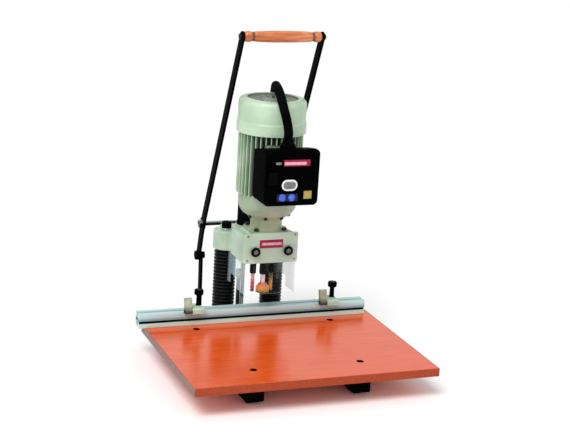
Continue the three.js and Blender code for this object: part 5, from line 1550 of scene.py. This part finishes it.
def makeRocker():
    rocker = {"rise": 0.001, "bevel": 0.004, "edge": 0.0006}
    low, high, (_, _, middleZ), _ = around("rocker_switch")
    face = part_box("switch_box_cover")[0].y
    outline = [
        (low.y, high.z, 0.0008), (face, middleZ, 0.02), (face - rocker["rise"], low.z, 0.0008),
        (high.y, low.z + rocker["bevel"]), (high.y, high.z - rocker["bevel"])]
    piece = extruded("rocker_switch_moulded", "x", roundedCorners(outline, 0.0005, 5), low.x, high.x)
    settled(softened(piece, rocker["edge"]), "rocker", "knobPlastic", "black_plastic", "rocker_switch")
    inlet = {"bore": 0.005, "mouth": 0.0072, "plug": 0.0048, "ribs": 24}
    low, high, (_, y, z), (_, _, radius) = around("mains_inlet_gland")
    ribs, inside, plug = knurlShape(inlet["ribs"]), inlet["bore"], inlet["plug"]
    piece = turned("mains_inlet_gland_moulded", "x", (0, y, z), [
        (inside, low.x), (radius, low.x, hexShape), (radius, low.x + 0.0042, hexShape),
        (radius * 0.86, low.x + 0.005), (radius * 0.8, low.x + 0.0056, ribs),
        (radius * 0.8, low.x + 0.011, ribs), (radius * 0.7, high.x - 0.0016), (inlet["mouth"], high.x),
        (inside, high.x)], 96)
    settled(piece, "head", "knobPlastic", "black_plastic", "mains_inlet_gland")
    piece = turned("mains_inlet_plug", "x", (0, y, z), [
        (0, high.x - 0.004), (plug, high.x - 0.004), (plug, high.x - 0.0016), (0, high.x - 0.0012)], 40)
    settled(piece, "head", "padRubber", "black_rubber")


def makeTerminalBox():
    box = {"corner": 0.009, "lid": 0.012, "halfSeam": 0.0004, "edges": {"tray": 0.0008, "lid": 0.0018},
           "gasketInset": 0.001}
    screw = {"inset": 0.009, "profile": [
        (0, -0.0012), (0.0034, -0.0012), (0.0034, -0.0004), (0.0024, -0.00005), (0.0012, -0.0002),
        (0.001, -0.0009), (0, -0.0009)]}
    low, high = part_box("terminal_box")
    seam = high.y - box["lid"]
    tray, lid = seam - box["halfSeam"], seam + box["halfSeam"]
    outline = facing(low, high, 0, box["corner"], 8)
    for name, near, far in (("tray", low.y, tray), ("lid", lid, high.y)):
        piece = softened(extruded(f"terminal_box_{name}", "y", outline, near, far), box["edges"][name], 3)
        settled(piece, "head", "motorGreen", "pale_green_paint", "terminal_box")
    inset = box["gasketInset"]
    gasket = extruded("terminal_box_gasket", "y", facing(low, high, inset, box["corner"] - inset), tray, lid)
    settled(gasket, "head", "padRubber", "pale_green_paint")
    for i, (x, z) in enumerate(facing(low, high, screw["inset"])):
        piece = turned(f"terminal_box_screw_{i}", "y", (x, high.y, z), screw["profile"], 32)
        settled(piece, "head", "zincSteel", "dark_steel")


# glands and the conduit that arches from the switch box over the motor
def makeConduit():
    conduit = {
        "radius": 0.011, "ridge": 0.0005, "pitch": 0.0042, "perRidge": 6, "segments": 32,
        "route": [  # in metres, from the motor's axis, its height from the floor
            (0.002, -0.110, 0.571), (0.002, -0.110, 0.589), (-0.002, -0.107, 0.613),
            (-0.008, -0.099, 0.64), (-0.010, -0.083, 0.662), (-0.007, -0.058, 0.675), (0.001, -0.022, 0.679),
            (0.011, 0.012, 0.677), (0.024, 0.050, 0.67), (0.035, 0.082, 0.656), (0.040, 0.099, 0.629),
            (0.041, 0.101, 0.603), (0.041, 0.101, 0.577), (0.041, 0.101, 0.5702),
        ],
    }
    route = [Vector((x + axisX, y + axisY, z)) for x, y, z in conduit["route"]]
    length = smoothLine(route, 200)[1]
    count = int(length / conduit["pitch"] * conduit["perRidge"])
    waves = [0.5 + 0.5 * math.cos(i / conduit["perRidge"] * math.tau) for i in range(count)]
    radii = [conduit["radius"] - conduit["ridge"] * (1 - wave ** 0.5) for wave in waves]
    tube = sweptTube("conduit_hose", smoothLine(route, count)[0], radii, conduit["segments"])
    settled(tube, "head", "padRubber", "black_rubber", "conduit", sharp=70)
    gland = {"bore": 0.009, "body": 0.014, "mouth": 0.0112, "ribs": 28}
    inside, wide, mouth, ribs = gland["bore"], gland["body"], gland["mouth"], knurlShape(gland["ribs"])
    for name in ("switch_box", "terminal_box"):
        low, high, (x, y, _), (radius, _, _) = around(f"gland_{name}")
        bottom, top = low.z, high.z
        piece = turned(f"gland_{name}_moulded", "z", (x, y, 0), [
            (inside, bottom), (radius * 0.96, bottom, hexShape), (radius, bottom + 0.0006, hexShape),
            (radius, bottom + 0.0048, hexShape), (radius * 0.9, bottom + 0.0057),
            (wide - 0.0005, bottom + 0.006, ribs), (wide, bottom + 0.0068, ribs), (wide, top - 0.004, ribs),
            (wide - 0.0012, top - 0.0018, ribs), (mouth + 0.001, top), (mouth, top), (mouth, top - 0.002),
            (inside, top - 0.002)], 112)
        settled(piece, "head", "knobPlastic", "black_plastic", f"gland_{name}")


# spindles with their gears, the hinge cutter and the two bits
def gearShape(count, inner, outer, turn):
    def reach(angle):
        wave = 0.5 + 0.5 * math.cos((angle - turn) * count)
        return inner / outer + (1 - inner / outer) * min(1, max(0, (wave - 0.22) / 0.5))
    return reach


def makeSpindles():
    gear = {"teeth": 17, "depth": 0.003, "thickness": 0.016, "lift": 0.018, "backlash": 0.0005, "nose": 0.039,
            "apart": 0.024, "behind": 0.0095, "screwRadius": 0.0024, "screwLift": 0.012}
    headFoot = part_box("head_casting")[0].z
    gearBottom = headFoot + gear["lift"]
    gearTop = gearBottom + gear["thickness"]
    noseBottom = headFoot - gear["nose"]
    pitch = math.hypot(gear["apart"], gear["behind"]) / 2 - gear["backlash"]
    outer, inner = pitch + gear["depth"] / 2, pitch - gear["depth"] / 2
    spindles = {
        # body, centre, radius of its nose, radius of its shaft, finish of its bit
        "spindle_middle": ("drive", (axisX, axisY), 0.010, 0.008, None),
        "spindle_left": ("bit_left", (-gear["apart"], axisY + gear["behind"]), 0.008, 0.005, "toolRed"),
        "spindle_right": ("bit_right", (gear["apart"], axisY + gear["behind"]), 0.008, 0.005, "toolYellow"),
    }
    for node, (body, (x, y), nose, shaft, finish) in spindles.items():
        low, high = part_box(node)
        turn = 0
        if finish:
            # a gap between two teeth faces the middle gear's tooth
            toMiddle, fromMiddle = math.atan2(axisY - y, axisX - x), math.atan2(y - axisY, x - axisX)
            turn = toMiddle + math.pi / gear["teeth"] - -fromMiddle % (math.tau / gear["teeth"])
        teeth = gearShape(gear["teeth"], inner, outer, turn)
        piece = turned(f"{node}_ground", "z", (x, y, 0), [
            (0, noseBottom), (nose - 0.0008, noseBottom), (nose, noseBottom + 0.0008), (nose, gearBottom),
            (outer, gearBottom + 0.0006, teeth), (outer, gearTop - 0.0006, teeth), (outer * 0.82, gearTop),
            (shaft * 1.3, gearTop), (shaft, gearTop + 0.001), (shaft, high.z - 0.0008),
            (shaft - 0.0008, high.z), (0, high.z)], 204)
        settled(piece, body, "holderSteel", "dark_steel", node, sharp=32)
        radius = gear["screwRadius"]
        setscrew = turned(f"{node}_setscrew", "y", (x, y - nose, noseBottom + gear["screwLift"]), [
            (0, 0.0012), (radius, 0.0012), (radius, -0.0001), (radius / 2, -0.0001, hexShape),
            (radius / 2, 0.0008, hexShape), (0, 0.0008)], 24)
        settled(setscrew, body, "blackSteel", "dark_steel")
        if finish:
            makeDrillBit(body, finish, (x, y, 0), low.z, noseBottom)


def makeDrillBit(body, finish, centre, tip, top):
    bit = {"radius": 0.005, "flute": 0.0018, "lead": 0.018, "point": 0.0025, "segments": 40, "steps": 72}
    bm = bmesh.new()
    rings = []
    for i in range(bit["steps"] + 1):
        share = i / bit["steps"]
        rise = (top - tip) * share
        depth = bit["flute"] / bit["radius"] * min(1, max(0, (0.78 - share) / 0.08))
        twist = rise / bit["lead"] * math.tau

        def flutes(angle, depth=depth, twist=twist):
            return 1 - depth * max(0, math.cos((angle - twist) * 2)) ** 0.8
        point = min(1, 0.28 + rise / bit["point"])
        rings.append(ringOf(bm, bit["radius"] * point, tip + rise, bit["segments"], flutes))
    settled(skinned(f"drill_{body}", bm, rings, placing("z", centre)), body, finish, "dark_steel", sharp=60)


def makeCutter():
    cutter = {"radius": 0.0173, "rim": 0.012, "body": 0.022, "shank": 0.005, "cuts": 2, "point": 0.004,
              "edge": 0.0003, "toothEdge": 0.0002}
    low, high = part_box("cutter")
    tip = low.z + cutter["point"]
    radius, shank = cutter["radius"], cutter["shank"]
    rimTop, bodyTop, end = tip + cutter["rim"], tip + cutter["body"], radius + over
    head = turned("cutter_head", "z", motorAxis, [
        (0, low.z), (0.0019, tip), (0.004, tip + 0.0012), (radius - 0.003, tip + 0.0016), (radius, tip),
        (radius, rimTop), (radius * 0.86, rimTop + 0.003), (0.010, bodyTop), (shank, bodyTop),
        (shank, high.z), (0, high.z)], 96)
    gullet = roundedCorners([(0.004, -0.001), (end, -0.002), (end, -0.014), (0.008, -0.010)], 0.002)
    turns = [math.tau * i / cutter["cuts"] for i in range(cutter["cuts"])]
    carved(head, *[
        spun(extruded("gullet", "z", gullet, tip - over, tip + cutter["rim"] * 0.9), turn) for turn in turns])
    settled(softened(head, cutter["edge"], 2, 40), "drive", "toolOrange", "steel", "cutter")
    for i, turn in enumerate(turns):
        tooth = block(f"cutter_tooth_{i}", (0.0045, -0.0008, tip - 0.0002), (radius, 0.0014, tip + 0.008))
        settled(softened(spun(tooth, turn), cutter["toothEdge"], 1), "drive", "carbide", "steel")


# lever arms, axle, grip and its rod; the places are (y, z) in metres
axleAt = around("lever_axle")[2][1:]
gripAt = around("grip_rod")[2][1:]
pivotAt = (axisY + 0.2147, 0.1974)
linkFootAt = (axisY + 0.207, 0.036)


def makeLever():
    lever = {"halfWidth": 0.0125, "hub": 0.017, "boss": 0.012, "thickness": 0.006, "bossHeight": 0.006,
             "edge": 0.0012, "bossEdge": 0.001, "axle": 0.0063, "rod": 0.0053}
    screw = {"radius": 0.0062, "socket": 0.0034, "foot": 0.0008, "top": 0.0003, "floor": 0.0006}
    outline = barOutline([gripAt, axleAt, pivotAt], lever["halfWidth"])
    for side, sign in sides.items():
        low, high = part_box(f"lever_arm_{side}")
        inner = high.x if side == "left" else low.x
        outer = inner + sign * lever["thickness"]
        bossEnd = outer + sign * lever["bossHeight"]
        near, far = sorted((inner, outer))
        arm = softened(extruded(f"lever_arm_{side}_bar", "x", outline, near, far), lever["edge"], 3, 50)
        hub = roundBar("hub", "x", (0, *axleAt), lever["hub"], near, far, 72)
        boss = roundBar("boss", "x", (0, *pivotAt), lever["boss"], inner, bossEnd)
        combined(arm, softened(hub, lever["edge"], 3, 50), softened(boss, lever["bossEdge"], 3, 50))
        carved(arm, bore("x", (0, *axleAt), lever["axle"], near, far),
               bore("x", (0, *gripAt), lever["rod"], near, far, 40))
        settled(arm, "lever", "blackEnamel", "black_paint", f"lever_arm_{side}")
        foot, top, floor = (bossEnd - sign * screw[key] for key in ("foot", "top", "floor"))
        piece = turned(f"lever_pivot_screw_{side}", "x", (0, *pivotAt), [
            (0, foot), (screw["radius"], foot), (screw["radius"], top),
            (screw["socket"], top + sign * 0.0001, hexShape), (screw["socket"], floor, hexShape),
            (0, floor)], 40)
        settled(piece, "lever", "zincSteel", "dark_steel")


def makeAxle():
    axle = {"radius": 0.006, "headRadius": 0.011, "headLength": 0.008, "dimple": 0.0046, "chamfer": 0.0014}
    low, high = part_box("lever_axle")
    length, wide = axle["headLength"], axle["headRadius"]
    end = [(0, 0.001), (axle["dimple"], 0.001), (axle["dimple"] + 0.0006, 0), (wide * 0.86, 0),
           (wide, axle["chamfer"]), (wide, length), (axle["radius"], length)]
    profile = [(radius, low.x + inset) for radius, inset in end]
    profile += [(radius, high.x - inset) for radius, inset in end[::-1]]
    piece = turned("lever_axle_turned", "x", (0, *axleAt), profile, 72)
    settled(piece, "lever", "axleSteel", "steel", "lever_axle")
    rod = {"radius": 0.005, "bore": 0.0042, "nutRadius": 0.008, "nutLength": 0.006}
    low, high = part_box("grip_rod")
    nut, length = rod["nutRadius"], rod["nutLength"]
    bar = roundBar("grip_rod_bar", "x", (0, *gripAt), rod["radius"], low.x + length / 2,
                   high.x - length / 2, 40)
    settled(bar, "lever", "blackSteel", "dark_steel", "grip_rod")
    for side, start, way in (("left", low.x + length, -1), ("right", high.x - length, 1)):
        piece = turned(f"grip_nut_{side}", "x", (0, *gripAt), [
            (rod["bore"], start), (nut, start, hexShape), (nut, start + way * 0.0034, hexShape),
            (nut * 0.8, start + way * 0.0042), (nut * 0.66, start + way * 0.0052),
            (nut * 0.36, start + way * 0.0058), (0, start + way * length)], 48)
        settled(piece, "lever", "blackSteel", "dark_steel")


def makeGrip():
    # turned from one piece of wood: a long swell, with a bead and a groove at each end
    grip = {"radius": 0.014, "end": 0.0102, "bead": 0.0130, "neck": 0.0110, "swell": 0.0122, "bore": 0.0053}
    radius, end, bead, neck, swell, inside = picked(grip, "radius", "end", "bead", "neck", "swell", "bore")
    low, high, (middle, _, _), (half, _, _) = around("grip")
    shares = [
        (1.0, end * 0.9), (0.994, end), (0.975, end + 0.001), (0.957, bead - 0.0008), (0.93, bead),
        (0.88, bead + 0.0001), (0.84, bead - 0.0002), (0.822, bead - 0.0012), (0.81, neck + 0.0002),
        (0.80, neck), (0.75, neck), (0.735, neck + 0.0002), (0.72, swell - 0.0002), (0.7, swell),
        (0.6, swell + 0.0006), (0.45, radius - 0.0006), (0.2, radius), (0.05, radius)]
    profile = [(inside, high.x)] + [(reach, middle + share * half) for share, reach in shares]
    profile += [(reach, middle - share * half) for share, reach in shares[::-1]] + [(inside, low.x)]
    piece = turned("grip_turned", "x", (0, *gripAt), profile, 96)
    settled(piece, "lever", "turnedWood", "wood", "grip", sharp=55)


# links from the lever to the pins on the bed's sides
def makeLinks():
    link = {"halfWidth": 0.010, "thickness": 0.006, "boss": 0.009, "bossHeight": 0.006, "bossEdge": 0.0008,
            "edge": 0.001, "bore": 0.0051}
    pin = {"radius": 0.005, "collar": 0.010, "gap": 0.0005, "tail": 0.0063, "socket": 0.0036, "depth": 0.0022,
           "chamfer": 0.001}
    outline = barOutline([pivotAt, linkFootAt], link["halfWidth"])
    for side, sign in sides.items():
        low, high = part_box(f"link_{side}")
        outer = low.x if side == "left" else high.x
        inner = outer - sign * link["thickness"]
        bossEnd = inner - sign * link["bossHeight"]
        bar = softened(extruded(f"link_{side}_bar", "x", outline, outer, inner), link["edge"], 3, 50)
        boss = roundBar("boss", "x", (0, *pivotAt), link["boss"], outer, bossEnd, 56)
        combined(bar, softened(boss, link["bossEdge"], 2, 50))
        carved(bar, bore("x", (0, *linkFootAt), link["bore"], *sorted((outer, inner)), 40))
        settled(bar, f"link_{side}", "blackEnamel", "black_paint", f"link_{side}")
        tail, tip = [end.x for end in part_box(f"link_pin_{side}")][::-sign]
        head, collarFar = inner - sign * pin["gap"], tail - sign * pin["tail"]
        collarNear = outer + sign * pin["gap"]
        radius, wide, chamfer, socket = picked(pin, "radius", "collar", "chamfer", "socket")
        floor = tip + sign * pin["depth"]
        piece = turned(f"link_pin_{side}_turned", "x", (0, *linkFootAt), [
            (0, tail), (radius, tail), (radius, collarFar), (wide, collarFar), (wide, collarNear),
            (radius, collarNear), (radius, head), (wide * 0.9, head), (wide, head - sign * chamfer),
            (wide, tip + sign * chamfer), (wide * 0.88, tip), (socket, tip, hexShape),
            (socket, floor, hexShape), (0, floor)])
        settled(piece, "frame", "blackSteel", "dark_steel", f"link_pin_{side}")


makeFence()
makeStops()
print("fence and stops are made")
makeHead()
makeFrontPlate()
makeGuard()
print("head, plate and guard are made")
makeNeck()
makeShield()
makeStator()
makeCowl()
print("motor is made")
makeSwitchBox()
makeRocker()
makeTerminalBox()
makeConduit()
print("boxes and conduit are made")
makeSpindles()
makeCutter()
makeLever()
makeAxle()
makeGrip()
makeLinks()
print("spindles, lever and links are made")
